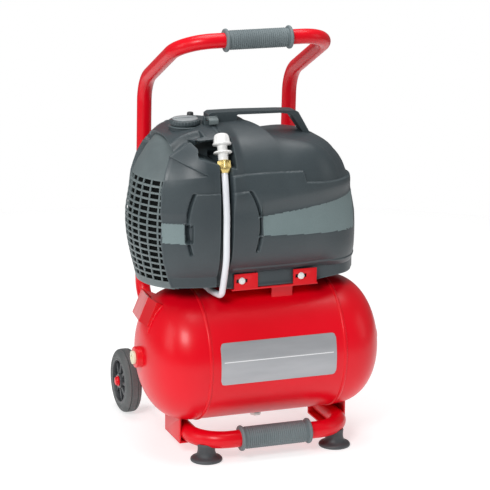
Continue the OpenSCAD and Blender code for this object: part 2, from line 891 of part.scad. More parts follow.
shaft_x0 = -198;
pump_x0 = 20;
pump_l = 64;
plate_l = 8;
module shaft() {
    color("silver")
        along_x([shaft_x0, shaft_y, shaft_z]) cylinder(r = shaft_r, h = pump_x0 + pump_l + plate_l - shaft_x0);
}
module bearings() {
    color("silver")
        for (x = [motor_x0, motor_x1 - bearing_w])
            along_x([x, shaft_y, shaft_z])
                difference() {
                    cylinder(r = bearing_r, h = bearing_w);
                    translate([0, 0, -1]) cylinder(r = shaft_r + fit_gap, h = bearing_w + 2);
                }
}
module cooling_fan() {
    fan_r = 60;
    fan_w = 18;
    color("#303030")
        along_x([shaft_x0, shaft_y, shaft_z])
            difference() {
                union() {
                    cylinder(r = 20, h = fan_w);
                    for (i = [0 : fan_blades - 1])
                        rotate([0, 0, i * 360 / fan_blades])
                            translate([18, -1, 1]) cube([fan_r - 18, 2, fan_w - 2]);
                }
                translate([0, 0, -1]) cylinder(r = shaft_r, h = fan_w + 2);
            }
}

// Pump ----------------------------------------------------------------------------------

pump_r = 65;
chamber_r = 40;
rotor_r = rotor_d / 2;
chamber_up = chamber_r - rotor_r - 0.1;
side_gap = 0.1;
vane_t = 5;
vane_deep = 19;
module pump_cylinder() {
    color("darkgray")
        along_x([pump_x0, shaft_y, shaft_z])
            difference() {
                cylinder(r = pump_r, h = pump_l);
                translate([-chamber_up, 0, -1]) cylinder(r = chamber_r, h = pump_l + 2);
                // Inlet bore from the pipe into the chamber
                translate([-pump_r - 1, 0, inlet_x - pump_x0]) rotate([0, 90, 0]) cylinder(r = 5, h = 40);
            }
}
module vane_slots(r0, r1, l) {
    for (i = [0 : vane_count - 1])
        rotate([0, 0, i * 360 / vane_count]) translate([r0, -vane_t / 2, 0]) cube([r1 - r0, vane_t, l]);
}
module pump_rotor() {
    color("gray")
        along_x([pump_x0 + side_gap, shaft_y, shaft_z])
            difference() {
                cylinder(r = rotor_r, h = pump_l - 2 * side_gap);
                translate([0, 0, -1]) cylinder(r = shaft_r, h = pump_l + 2);
                translate([0, 0, -1]) vane_slots(rotor_r - vane_deep, rotor_r + 5, pump_l + 2);
            }
}
module pump_vanes() {
    color("#3a3a3a")
        along_x([pump_x0 + side_gap, shaft_y, shaft_z])
            vane_slots(rotor_r - vane_deep, rotor_r - 0.2, pump_l - 2 * side_gap);
}
module pump_end_plates() {
    color("darkgray")
        for (x = [pump_x0 - plate_l, pump_x0 + pump_l])
            along_x([x, shaft_y, shaft_z])
                difference() {
                    cylinder(r = pump_r, h = plate_l);
                    translate([0, 0, -1]) cylinder(r = shaft_r + fit_gap, h = plate_l + 2);
                }
}
silencer_r = 34;
module silencer() {
    x0 = pump_x0 + pump_l + plate_l;
    color("#404040") {
        along_x([x0, shaft_y, shaft_z + 30]) cylinder(r = 9, h = 16);
        along_x([x0 + 14, shaft_y, shaft_z + 15]) cylinder(r = silencer_r, h = 62);
    }
}

module start_capacitor() {
    can_r = 20;
    away = motor_r + can_r;
    color("lightgray")
        along_x([-135, shaft_y + away * cos(50), shaft_z + away * sin(50)]) cylinder(r = can_r, h = 85);
}

// Sheet tray under the motor and pump, with saddles that follow their round bodies
tray_z = base_z + mount_h;
module motor_cradle() {
    saddles = [[-140, 20, motor_r], [-40, 20, motor_r], [44, 20, pump_r]];
    color("#505050")
        difference() {
            union() {
                translate([-140, -124, tray_z]) cube([235, 104, sheet]);
                for (s = saddles)
                    translate([s[0], shaft_y - 48, tray_z + sheet]) cube([s[1], 96, 50]);
            }
            for (s = saddles)
                along_x([s[0] - 1, shaft_y, shaft_z]) cylinder(r = s[2], h = s[1] + 2);
            for (x = mount_x, y = mount_y)
                translate([x, y, tray_z - 1]) cylinder(r = bolt_r, h = sheet + 2);
        }
}
module rubber_mounts() {
    color("#202020")
        for (x = mount_x, y = mount_y)
            translate([x, y, base_z])
                difference() {
                    cylinder(r = 13, h = mount_h);
                    translate([0, 0, -1]) cylinder(r = bolt_r, h = mount_h + 2);
                }
}
module mount_bolts() {
    color("silver")
        for (x = mount_x, y = mount_y)
            translate([x, y, 0]) {
                translate([0, 0, base_z - sheet]) cylinder(r = bolt_r, h = mount_h + 2 * sheet);
                translate([0, 0, tray_z + sheet]) cylinder(r = 7, h = 6, $fn = 6);
            }
}

tank_shell();
tank_head_left();
tank_head_right();
tank_boss_left();
tank_boss_right();
port_plug();
drain_plug();
nameplate();
axle_bracket_left();
axle_bracket_right();
front_bracket_left();
front_bracket_right();
handle_bracket_left();
handle_bracket_right();
axle();
axle_caps();
tyre_left();
tyre_right();
rim_left();
rim_right();
front_tube();
front_grip();
foot_left();
foot_right();
foot_screws();
handle_tube();
handle_grip();
base_plate();
shroud_studs();
cable_gland();
shroud_left();
shroud_right();
intake_grille();
carry_handle();
switch_bezel();
switch_knob();
reset_button();
shroud_catch();
elbow_fitting();
tube_nut();
vacuum_tube();
tank_fitting();
inlet_pipe();
motor_housing();
motor_stator();
motor_windings();
motor_rotor();
shaft();
bearings();
cooling_fan();
pump_cylinder();
pump_rotor();
pump_vanes();
pump_end_plates();
silencer();
start_capacitor();
motor_cradle();
rubber_mounts();
mount_bolts();
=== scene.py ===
"""Looks of a portable rotary vane vacuum unit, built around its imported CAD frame."""
import math
import bpy
import bmesh
import numpy as np
from mathutils import Matrix, Vector


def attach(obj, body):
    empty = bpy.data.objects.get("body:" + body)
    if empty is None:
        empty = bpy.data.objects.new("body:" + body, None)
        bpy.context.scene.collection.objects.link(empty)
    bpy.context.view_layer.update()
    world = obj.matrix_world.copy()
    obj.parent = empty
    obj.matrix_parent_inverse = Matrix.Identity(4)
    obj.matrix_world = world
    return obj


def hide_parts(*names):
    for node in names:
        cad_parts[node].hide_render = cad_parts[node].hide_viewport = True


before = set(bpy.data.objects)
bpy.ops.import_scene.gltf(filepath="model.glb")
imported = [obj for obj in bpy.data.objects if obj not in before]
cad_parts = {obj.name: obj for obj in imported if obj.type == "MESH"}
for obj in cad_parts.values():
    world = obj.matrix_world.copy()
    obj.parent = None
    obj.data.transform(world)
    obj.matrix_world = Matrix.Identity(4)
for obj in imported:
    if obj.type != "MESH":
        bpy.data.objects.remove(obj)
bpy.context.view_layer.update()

MM = 0.001
TAU = 2 * math.pi


# Small helpers ---------------------------------------------------------------------------

def smooth(t):
    c = np.clip(t, 0.0, 1.0)
    return c * c * (3 - 2 * c)


def soft(d, w):
    """0 well below zero, 1 well above it, turning over a width w."""
    return smooth(np.asarray(d) / w + 0.5)


def bump_at(d, w):
    return np.exp(-(np.asarray(d) / w) ** 2)


# Materials -------------------------------------------------------------------------------

def surface(name, tones, rough, metallic=0.0, coat=0.0, tone_scale=9.0, bump=(400.0, 0.05), wear=0.0,
        wear_tone=None, specks=0.0, brushed=None, specular=0.5):
    """Procedural finish: two tones mottled together, uneven roughness, fine relief and worn edges."""
    mat = bpy.data.materials.new(name)
    mat.use_nodes = True
    tree = mat.node_tree
    nodes = tree.nodes
    link = tree.links.new
    shader = nodes["Principled BSDF"]
    shader.inputs["Metallic"].default_value = metallic
    shader.inputs["Coat Weight"].default_value = coat
    shader.inputs["Specular IOR Level"].default_value = specular
    shader.inputs["Coat Roughness"].default_value = 0.12

    def noise(scale, detail, at):
        node = nodes.new("ShaderNodeTexNoise")
        node.inputs["Scale"].default_value = scale
        node.inputs["Detail"].default_value = detail
        link(at, node.inputs["Vector"])
        return node.outputs["Fac"]

    def remap(value, *limits):
        node = nodes.new("ShaderNodeMapRange")
        for key, limit in zip(("From Min", "From Max", "To Min", "To Max"), limits):
            node.inputs[key].default_value = limit
        link(value, node.inputs["Value"])
        return node.outputs["Result"]

    def mixed(kind, a):
        node = nodes.new("ShaderNodeMix")
        node.data_type = "RGBA"
        node.blend_type = kind
        link(a, node.inputs["A"])
        return node

    place = nodes.new("ShaderNodeTexCoord").outputs["Object"]
    source = place
    if brushed:
        stretch = nodes.new("ShaderNodeMapping")
        stretch.inputs["Scale"].default_value = brushed
        link(place, stretch.inputs["Vector"])
        source = stretch.outputs["Vector"]
    ramp = nodes.new("ShaderNodeValToRGB")
    for stop, at, tone in zip(ramp.color_ramp.elements, (0.35, 0.65), tones):
        stop.position = at
        stop.color = (*tone, 1)
    link(noise(tone_scale, 6.0, source), ramp.inputs["Fac"])
    colour = ramp.outputs["Color"]
    if specks:
        tint = mixed("MULTIPLY", colour)
        tint.inputs["Factor"].default_value = 1.0
        link(remap(noise(900.0, 2.0, place), 0.35, 0.65, 1.0 - specks, 1.0 + specks), tint.inputs["B"])
        colour = tint.outputs["Result"]
    if wear:
        rub = mixed("MIX", colour)
        edge = nodes.new("ShaderNodeNewGeometry").outputs["Pointiness"]
        link(remap(edge, 0.51, 0.58, 0.0, wear), rub.inputs["Factor"])
        rub.inputs["B"].default_value = (*(wear_tone or tones[1]), 1)
        colour = rub.outputs["Result"]
    link(colour, shader.inputs["Base Color"])
    link(remap(noise(tone_scale * 2.3, 4.0, source), 0.3, 0.7, *rough), shader.inputs["Roughness"])
    lift = nodes.new("ShaderNodeBump")
    lift.inputs["Strength"].default_value = bump[1]
    lift.inputs["Distance"].default_value = 0.0006
    link(noise(bump[0], 3.0, source), lift.inputs["Height"])
    link(lift.outputs["Normal"], shader.inputs["Normal"])
    return mat


RED = surface("red_paint", [(0.70, 0.0, 0.008), (0.78, 0.0, 0.012)], (0.28, 0.38), coat=0.04, tone_scale=5,
    bump=(260.0, 0.05), wear=0.25, wear_tone=(0.80, 0.03, 0.03), specular=0.32)
SHROUD = surface("shroud_plastic", [(0.036, 0.049, 0.056), (0.048, 0.064, 0.071)], (0.36, 0.50),
    tone_scale=7, bump=(1500.0, 0.20), wear=0.4, wear_tone=(0.15, 0.19, 0.20), specks=0.10)
# Lighter tone for the two mid-height shroud facets: a painted highlight standing for the light they catch
# facing upwards
LIT_FACET_TONE = surface("shroud_painted_highlight", [(0.160, 0.215, 0.220), (0.190, 0.250, 0.255)], (0.42, 0.54), tone_scale=9,
    bump=(1500.0, 0.16), wear=0.3, wear_tone=(0.22, 0.27, 0.27), specks=0.08)
LATTICE = surface("lattice_plastic", [(0.10, 0.125, 0.13), (0.13, 0.16, 0.165)], (0.40, 0.52),
    tone_scale=12, bump=(1500.0, 0.18), wear=0.35, wear_tone=(0.22, 0.27, 0.27), specks=0.08)
KNOB = surface("knob_plastic", [(0.30, 0.33, 0.34), (0.36, 0.39, 0.40)], (0.38, 0.5), tone_scale=20,
    bump=(1200.0, 0.12), specks=0.06)
BLACK = surface("black_plastic", [(0.016, 0.018, 0.019), (0.026, 0.028, 0.030)], (0.35, 0.5),
    bump=(1200.0, 0.15), wear=0.3, wear_tone=(0.09, 0.095, 0.10))
GRIP = surface("grip_rubber", [(0.115, 0.145, 0.155), (0.15, 0.185, 0.195)], (0.55, 0.7), tone_scale=15,
    bump=(900.0, 0.2), wear=0.3, wear_tone=(0.25, 0.29, 0.30), specks=0.1)
TYRE = surface("tyre_rubber", [(0.075, 0.083, 0.084), (0.105, 0.114, 0.115)], (0.6, 0.78), tone_scale=18,
    bump=(700.0, 0.3), wear=0.25, wear_tone=(0.28, 0.3, 0.29), specks=0.14)
FOOT = surface("foot_rubber", [(0.040, 0.046, 0.050), (0.058, 0.064, 0.070)], (0.42, 0.6), tone_scale=15,
    bump=(900.0, 0.2), wear=0.3, wear_tone=(0.14, 0.15, 0.16))
RIM = surface("rim_plastic", [(0.020, 0.023, 0.026), (0.034, 0.038, 0.042)], (0.36, 0.5),
    bump=(1100.0, 0.15), wear=0.35, wear_tone=(0.16, 0.17, 0.18))
WHITE = surface("white_plastic", [(0.78, 0.78, 0.77), (0.86, 0.86, 0.85)], (0.28, 0.4), tone_scale=25,
    bump=(900.0, 0.06), wear=0.2, wear_tone=(0.93, 0.93, 0.92))
TUBE = surface("tube_white", [(0.74, 0.76, 0.80), (0.82, 0.84, 0.88)], (0.16, 0.26), coat=0.3,
    tone_scale=14, bump=(500.0, 0.04))
CREAM = surface("cream_plastic", [(0.72, 0.66, 0.46), (0.80, 0.75, 0.56)], (0.35, 0.5), tone_scale=30,
    bump=(900.0, 0.1))
BRASS = surface("brass", [(0.62, 0.44, 0.13), (0.76, 0.57, 0.20)], (0.22, 0.36), metallic=1.0,
    tone_scale=40, bump=(500.0, 0.08), wear=0.4, wear_tone=(0.92, 0.78, 0.40), brushed=(1, 1, 6))
ZINC = surface("zinc", [(0.60, 0.60, 0.58), (0.72, 0.72, 0.70)], (0.26, 0.42), metallic=1.0, tone_scale=60,
    bump=(600.0, 0.08), brushed=(1, 6, 6))
STEEL = surface("steel", [(0.45, 0.45, 0.45), (0.58, 0.58, 0.58)], (0.25, 0.4), metallic=1.0, tone_scale=30,
    bump=(500.0, 0.1), brushed=(8, 1, 1))
COPPER = surface("copper", [(0.55, 0.22, 0.09), (0.72, 0.34, 0.15)], (0.3, 0.45), metallic=1.0,
    tone_scale=60, bump=(800.0, 0.5), brushed=(1, 14, 14))
IRON = surface("cast_iron", [(0.16, 0.16, 0.165), (0.24, 0.24, 0.245)], (0.5, 0.7), metallic=0.7,
    tone_scale=40, bump=(350.0, 0.4))
CARBON = surface("vane_carbon", [(0.03, 0.03, 0.03), (0.05, 0.05, 0.05)], (0.45, 0.6), bump=(800.0, 0.2))
# Near-black dull paint for the sheet inside the end grille: painted shade standing for the shadow behind
# the openings
SHADE_PAINT = surface("painted_shade_sheet", [(0.004, 0.005, 0.005), (0.008, 0.009, 0.009)], (0.85, 0.95),
    bump=(900.0, 0.4), specular=0.1)
MOTOR = surface("motor_paint", [(0.05, 0.055, 0.06), (0.08, 0.085, 0.09)], (0.4, 0.55), tone_scale=20,
    bump=(300.0, 0.3))
LABEL = surface("label_plate", [(0.37, 0.38, 0.40), (0.43, 0.44, 0.46)], (0.30, 0.42), metallic=0.35,
    tone_scale=8, bump=(700.0, 0.05), brushed=(1, 5, 5))
LABEL_LINE = surface("label_line", [(0.80, 0.81, 0.82), (0.86, 0.87, 0.88)], (0.35, 0.45), tone_scale=20,
    bump=(700.0, 0.04))


# Mesh building ---------------------------------------------------------------------------

def add_piece(name, verts, faces, mat, body="frame", slot=None, stands_for=(), angle=40):
    """Makes a mesh piece from points in millimetres, smooth except at edges sharper than the angle.

    Its material slot holds the given material. The slot argument is not used.
    """
    mesh = bpy.data.meshes.new(name)
    points = [tuple(v) for v in np.asarray(verts, float) * MM]
    mesh.from_pydata(points, [], [tuple(int(i) for i in f) for f in faces])
    return finish_piece(name, mesh, mat, body, slot, stands_for, angle)


def finish_piece(name, mesh, mat, body, slot, stands_for, angle=40):
    bm = bmesh.new()
    bm.from_mesh(mesh)
    bmesh.ops.recalc_face_normals(bm, faces=bm.faces)
    for f in bm.faces:
        f.smooth = True
    for e in bm.edges:
        if len(e.link_faces) == 2 and e.calc_face_angle(0) > math.radians(angle):
            e.smooth = False
    bm.to_mesh(mesh)
    bm.free()
    mesh.materials.clear()
    mesh.materials.append(mat)
    obj = bpy.data.objects.new(name, mesh)
    bpy.context.collection.objects.link(obj)
    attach(obj, body)
    if not slot:
        slot = mat.name.split(".")[0]  # Blender adds a suffix to a name that is taken
    if stands_for:
        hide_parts(*stands_for)
    return obj


def grid_faces(rows, cols, wrap_cols=False, start=0):
    out = []
    for i in range(rows - 1):
        for j in range(cols if wrap_cols else cols - 1):
            k = (j + 1) % cols
            a = start + i * cols
            b = a + cols
            out.append((a + j, b + j, b + k, a + k))
    return out


def closed_sheet(rows, cols):
    """Faces of two like grids of points, one behind the other, closed round their rim."""
    count = rows * cols
    faces = grid_faces(rows, cols)
    faces += [tuple(reversed([i + count for i in f])) for f in grid_faces(rows, cols)]
    rim = [i * cols for i in range(rows)] + [(rows - 1) * cols + k for k in range(1, cols)]
    rim += [i * cols + cols - 1 for i in range(rows - 2, -1, -1)] + list(range(cols - 2, 0, -1))
    for i in range(len(rim)):
        p, q = rim[i], rim[(i + 1) % len(rim)]
        faces.append((p, q, q + count, p + count))
    return faces


def end_caps(rings, steps, start=0):
    """Faces that close the first and the last of several rings of points."""
    last = start + (rings - 1) * steps
    return [tuple(range(start, start + steps)), tuple(range(last + steps - 1, last - 1, -1))]


def direction_frame(axis):
    w = Vector(axis).normalized()
    u = w.orthogonal().normalized()
    return np.array(u), np.array(w.cross(u)), np.array(w)


def lathe_mesh(profile, origin, axis, steps=96, start=0, ripple=None):
    """Rings of (radius, height) turned round an axis; an end at radius 0 is closed by a tiny ring."""
    u, v, w = direction_frame(axis)
    ang = np.arange(steps) * TAU / steps
    verts = []
    for r, h in profile:
        rr = np.full(steps, max(r, 0.02))
        if ripple:
            rr = rr + ripple(ang, r, h)
        round_way = np.cos(ang)[:, None] * u + np.sin(ang)[:, None] * v
        verts.append(np.asarray(origin) + rr[:, None] * round_way + h * w)
    faces = grid_faces(len(profile), steps, wrap_cols=True, start=start)
    closed = abs(profile[0][0] - profile[-1][0]) < 1e-6 and abs(profile[0][1] - profile[-1][1]) < 1e-6
    if not closed:
        faces += end_caps(len(profile), steps, start)
    return np.concatenate(verts), faces


def lathe(name, profile, origin, axis, mat, steps=96, ripple=None, **kw):
    verts, faces = lathe_mesh(profile, origin, axis, steps, 0, ripple)
    return add_piece(name, verts, faces, mat, **kw)


def joined(parts):
    """Puts several (verts, faces) together, so one piece can have several shells."""
    verts = []
    faces = []
    count = 0
    for v, f in parts:
        verts.append(np.asarray(v, float))
        faces += [tuple(i + count for i in face) for face in f]
        count += len(v)
    return np.concatenate(verts), faces


def filleted(points, radii, step=3.0):
    """Centre line through points, with a round bend of the given radius at each inner one."""
    pts = [np.asarray(p, float) for p in points]
    line = [pts[0]]
    for i in range(1, len(pts) - 1):
        a, b, c = pts[i - 1], pts[i], pts[i + 1]
        u = (b - a) / np.linalg.norm(b - a)
        v = (c - b) / np.linalg.norm(c - b)
        turn = math.acos(max(-1.0, min(1.0, float(u @ v))))
        if turn < 1e-4:
            line.append(b)
            continue
        back = radii[i] * math.tan(turn / 2)
        n = v - (u @ v) * u
        n = n / np.linalg.norm(n)
        centre = b - u * back + n * radii[i]
        count = max(4, int(radii[i] * turn / step))
        for k in range(count + 1):
            t = turn * k / count
            line.append(centre - n * radii[i] * math.cos(t) + u * radii[i] * math.sin(t))
    line.append(pts[-1])
    return np.array(line)


def sweep_mesh(line, radius, steps=32, start=0):
    """Round rod along a centre line, with closed ends."""
    line = np.asarray(line, float)
    keep = np.r_[True, np.linalg.norm(np.diff(line, axis=0), axis=1) > 1e-6]
    line = line[keep]
    tang = np.gradient(line, axis=0)
    tang /= np.linalg.norm(tang, axis=1)[:, None]
    u = direction_frame(tang[0])[0]
    ang = np.arange(steps) * TAU / steps
    rad = radius if callable(radius) else (lambda t: radius)
    verts = []
    for i, p in enumerate(line):
        u = u - (u @ tang[i]) * tang[i]
        u = u / np.linalg.norm(u)
        v = np.cross(tang[i], u)
        r = rad(i / (len(line) - 1))
        verts.append(p + r * (np.cos(ang)[:, None] * u + np.sin(ang)[:, None] * v))
    faces = grid_faces(len(line), steps, wrap_cols=True, start=start)
    faces += end_caps(len(line), steps, start)
    return np.concatenate(verts), faces


def sweep(name, line, radius, mat, steps=32, **kw):
    verts, faces = sweep_mesh(line, radius, steps)
    return add_piece(name, verts, faces, mat, **kw)


def bevelled(bm, width, segments=2, angle=30):
    """Rounds every edge sharper than the angle by the given width in millimetres."""
    bmesh.ops.remove_doubles(bm, verts=bm.verts, dist=1e-6)
    bmesh.ops.dissolve_limit(bm, angle_limit=math.radians(1.0), verts=bm.verts, edges=bm.edges)
    edges = [e for e in bm.edges if len(e.link_faces) == 2 and e.calc_face_angle(0) > math.radians(angle)]
    bmesh.ops.bevel(bm, geom=edges, offset=width * MM, offset_type="OFFSET", segments=segments, profile=0.6,
        affect="EDGES", clamp_overlap=True)


def softened(node, mat, width=0.8, body="frame", slot=None, name=None, segments=2):
    """A copy of a CAD node with rounded edges, which stands for it."""
    bm = bmesh.new()
    bm.from_mesh(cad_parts[node].data)
    bevelled(bm, width, segments)
    mesh = bpy.data.meshes.new(name or node + "_look")
    bm.to_mesh(mesh)
    bm.free()
    return finish_piece(name or node + "_look", mesh, mat, body, slot, (node,), 32)


def prism(outline, axis, low, high, width=1.0, segments=3):
    """Outline extruded along x, y or z between two heights, with rounded edges, in millimetres."""
    bm = bmesh.new()
    order = {"x": (2, 0, 1), "y": (0, 2, 1), "z": (0, 1, 2)}[axis]

    def at(p, h):
        q = (p[0], p[1], h)
        return Vector((q[order[0]], q[order[1]], q[order[2]])) * MM

    base = [bm.verts.new(at(p, low)) for p in outline]
    top = [bm.verts.new(at(p, high)) for p in outline]
    n = len(outline)
    bm.faces.new(base)
    bm.faces.new(list(reversed(top)))
    for i in range(n):
        bm.faces.new((base[i], top[i], top[(i + 1) % n], base[(i + 1) % n]))
    bmesh.ops.recalc_face_normals(bm, faces=bm.faces)
    if width:
        bevelled(bm, width, segments, 25)
    bm.verts.index_update()
    verts = np.array([v.co[:] for v in bm.verts]) / MM
    faces = [tuple(v.index for v in f.verts) for f in bm.faces]
    bm.free()
    return verts, faces


def box(low, high, width=1.0, segments=3):
    outline = [(low[0], low[1]), (high[0], low[1]), (high[0], high[1]), (low[0], high[1])]
    return prism(outline, "z", low[2], high[2], width, segments)


def round_corners(points, radius, steps=6):
    """2-D outline with each corner rounded."""
    out = []
    n = len(points)
    for i in range(n):
        a, b, c = (np.array(points[(i + k) % n], float) for k in (-1, 0, 1))
        r = radius[i] if isinstance(radius, (list, tuple)) else radius
        u = (a - b) / np.linalg.norm(a - b)
        v = (c - b) / np.linalg.norm(c - b)
        half = math.acos(max(-1, min(1, float(u @ v)))) / 2
        back = min(r / math.tan(half), 0.48 * np.linalg.norm(a - b), 0.48 * np.linalg.norm(c - b))
        for k in range(steps + 1):
            t = k / steps
            p = (1 - t) ** 2 * (b + u * back) + 2 * t * (1 - t) * b + t ** 2 * (b + v * back)
            out.append(tuple(p))
    return out


# Tank ------------------------------------------------------------------------------------

TANK_Y, TANK_Z, TANK_R = -85.6, 185.3, 126.0
HALF_SHELL, HEAD = 131.5, 98.0
BOSS_END, BOSS_R = 240.0, 20.0


def head_radius(t):
    return TANK_R * (1 - t ** 2.6) ** (1 / 2.2)


def weld_ring(x, radius, thick, count=110, phase=0.0):
    """Bead of overlapping weld ripples round the tank axis."""
    rings = 320
    steps = 12
    ang = np.arange(rings) * TAU / rings
    verts = []
    for a in ang:
        t = thick * (1 + 0.16 * abs(math.sin(a * count / 2 + phase)) + 0.05 * math.sin(7 * a))
        for k in range(steps):
            q = k * TAU / steps
            r = radius + t * 0.8 * math.cos(q)
            verts.append((x + t * 1.5 * math.sin(q), TANK_Y + r * math.cos(a), TANK_Z + r * math.sin(a)))
    faces = []
    for i in range(rings):
        for k in range(steps):
            j, m = (i + 1) % rings, (k + 1) % steps
            faces.append((i * steps + k, j * steps + k, j * steps + m, i * steps + m))
    return np.array(verts), faces


def bead_mesh(points, thick, pitch=3.0):
    """Bead of weld ripples along a line."""
    line = filleted(points, [6] * len(points), 1.0)
    run = np.r_[0, np.cumsum(np.linalg.norm(np.diff(line, axis=0), axis=1))]
    marks = np.arange(0, run[-1], 0.8)
    even = np.stack([np.interp(marks, run, line[:, k]) for k in range(3)], -1)
    length = run[-1]

    def ripple(share):
        return thick * (0.8 + 0.25 * abs(math.sin(share * length * math.pi / pitch)))

    return sweep_mesh(even, ripple, 12)


def make_tank():
    at = (0, TANK_Y, TANK_Z)
    shell = [(TANK_R - 3, -HALF_SHELL), (TANK_R, -HALF_SHELL)]
    shell += [(TANK_R, -HALF_SHELL + 2 * HALF_SHELL * k / 40) for k in range(1, 41)]
    shell += [(TANK_R - 3, HALF_SHELL), (TANK_R - 3, -HALF_SHELL)]
    lathe("tank_barrel", shell, at, (1, 0, 0), RED, steps=256, stands_for=("tank_shell",), angle=50)
    for side, name in ((1, "right"), (-1, "left")):
        shares = [math.sin(k * math.pi / 96) for k in range(48)]
        line = [(head_radius(t), HALF_SHELL + HEAD * t) for t in shares]
        line.append((0.02, HALF_SHELL + HEAD))
        lathe("tank_dome_" + name, line, at, (side, 0, 0), RED, steps=256,
            stands_for=("tank_head_" + name,), angle=60)
        bead = weld_ring(side * HALF_SHELL, TANK_R, 2.0)
        add_piece("girth_weld_" + name, *bead, RED, angle=80)
        socket = [(10.5, BOSS_END), (BOSS_R - 1.5, BOSS_END), (BOSS_R - 0.4, BOSS_END - 0.6),
            (BOSS_R, BOSS_END - 2), (BOSS_R, BOSS_END - 24), (10.5, BOSS_END - 24)]
        thread = [(10.5 + 0.9 * (k % 2), BOSS_END - 23 + k * 0.9) for k in range(25)]
        lathe("socket_" + name, socket + thread + [(10.5, BOSS_END)], at, (side, 0, 0), RED, steps=72,
            stands_for=("tank_boss_" + name,), angle=35)
        bead = weld_ring(side * (BOSS_END - 20.5), BOSS_R + 0.3, 2.0, count=22)
        add_piece("socket_weld_" + name, *bead, RED, angle=80)
    softened("port_plug", CREAM, 0.7)
    softened("drain_plug", ZINC, 0.6)


LABEL_L, LABEL_H, LABEL_TILT = 226.0, 80.0, 4.0


def curved_plate(name, outline, lift, thick, mat, **kw):
    """Thin plate that follows the tank, from a rounded outline given along the tank and round it."""
    cols = 90
    xs = np.linspace(min(p[0] for p in outline), max(p[0] for p in outline), cols)
    pts = np.array(outline)
    verts = []
    rows = 24
    for x in xs:
        hits = []
        for i in range(len(pts)):
            a, b = pts[i], pts[(i + 1) % len(pts)]
            if (a[0] - x) * (b[0] - x) <= 0 and a[0] != b[0]:
                hits.append(a[1] + (b[1] - a[1]) * (x - a[0]) / (b[0] - a[0]))
        low, high = (min(hits), max(hits)) if hits else (0, 0)
        for k in range(rows):
            verts.append((x, low + (high - low) * k / (rows - 1)))
    verts = np.array(verts)
    layers = []
    for h in (lift + thick, lift):
        ang = math.radians(LABEL_TILT) + verts[:, 1] / TANK_R
        r = TANK_R + h
        layers.append(np.stack([verts[:, 0], TANK_Y - r * np.cos(ang), TANK_Z + r * np.sin(ang)], -1))
    faces = closed_sheet(cols, rows)
    return add_piece(name, np.concatenate(layers), faces, mat, **kw)


def make_label():
    l, h = LABEL_L / 2, LABEL_H / 2
    outline = round_corners([(-l, -h), (l, -h), (l, h), (-l, h)], 9, 8)
    curved_plate("label", outline, 0.0, 0.8, LABEL, stands_for=("nameplate",), angle=50)
    line = [(-l + 6, 3.0), (l - 6, 3.0), (l - 6, 4.6), (-l + 6, 4.6)]
    curved_plate("label_divider", line, 0.75, 0.15, LABEL_LINE, slot="label_plate", angle=50)


# Brackets, base plate and small metal ------------------------------------------------------

def make_brackets():
    for side in ("left", "right"):
        softened("axle_bracket_" + side, RED, 0.8)
        softened("front_bracket_" + side, RED, 0.8)
        softened("handle_bracket_" + side, RED, 0.8)
    softened("base_plate", RED, 0.8)
    seam = []
    for z in np.linspace(238, 288, 14):
        t = (1 - (math.hypot(-113 - TANK_Y, z - TANK_Z) / TANK_R) ** 2.2) ** (1 / 2.6)
        seam.append((-HALF_SHELL - HEAD * t, -113.0, z))
    add_piece("wing_weld", *bead_mesh(seam, 2.0), RED, angle=80)
    softened("cable_gland", BLACK, 0.7)
    studs = []
    for x in (-57, 59):
        head = [(0, 3.6), (3.5, 3.5), (5.2, 2.8), (6.3, 1.4), (6.5, 0.0), (3, 0.0), (3, -4.0), (0, -4.0)]
        studs.append(lathe_mesh(head, (x, -163.05, 336), (0, -1, 0), 40))
    add_piece("studs", *joined(studs), WHITE, stands_for=("shroud_studs",))


# Tubes and grips -----------------------------------------------------------------------------

HANDLE_R, FRONT_R = 14.0, 16.0
HANDLE_X, BAR_Y, FRONT_Z = 147.6, -187.8, 41.2
UPPER_Z, UPRIGHT_Y = 660.5, 138.3
SOCKET_Z = 234 - 25 * math.sin(math.radians(22))
LOW_Y = UPRIGHT_Y + 0.047 * (UPPER_Z - SOCKET_Z)


def mirrored_path(half):
    """A path given from its right end to the middle, continued to the left end."""
    return half + [(-p[0], p[1], p[2]) for p in reversed(half)]


def make_tubes():
    half = [(HANDLE_X, 44, SOCKET_Z), (HANDLE_X, LOW_Y, SOCKET_Z), (HANDLE_X, UPRIGHT_Y, UPPER_Z),
        (HANDLE_X, -80, 768)]
    line = filleted(mirrored_path(half), [0, 42, 70, 62, 62, 70, 42, 0])
    sweep("handle_bar", line, HANDLE_R, RED, 48, stands_for=("handle_tube",), angle=50)
    half = [(147, -47.8, FRONT_Z), (147, BAR_Y, FRONT_Z)]
    line = filleted(mirrored_path(half), [0, 62, 62, 0])
    sweep("front_bar", line, FRONT_R, RED, 48, stands_for=("front_tube",), angle=50)


def grip(name, at, length, bar, body, flange, node):
    """Ribbed rubber sleeve with a rounded flange at each end."""
    half = length / 2
    pitch = 4.0
    count = int((length - 20) // pitch)
    line = [(bar, -half), (flange - 2.2, -half), (flange - 0.6, -half + 0.8), (flange, -half + 2.4),
        (flange, -half + 4.2), (flange - 1.0, -half + 5.6), (body - 1.0, -half + 6.4)]
    first = -count * pitch / 2
    for i in range(count):
        h = first + i * pitch
        line += [(body - 1.1, h), (body - 0.9, h + 0.5), (body - 0.2, h + 0.9), (body, h + 1.5),
            (body, h + 2.3), (body - 0.2, h + 2.9), (body - 0.9, h + 3.3), (body - 1.1, h + 3.7)]
    line += [(r, -h) for r, h in reversed(line[:7])]
    line.append(line[0])
    lathe(name, line, at, (1, 0, 0), GRIP, steps=64, stands_for=(node,), angle=50)


# Wheels and feet -----------------------------------------------------------------------------

AXLE_Y, AXLE_Z = 149.9, 62.5
WHEEL_OUT, WHEEL_W, WHEEL_R = 200.3, 32.0, 62.5


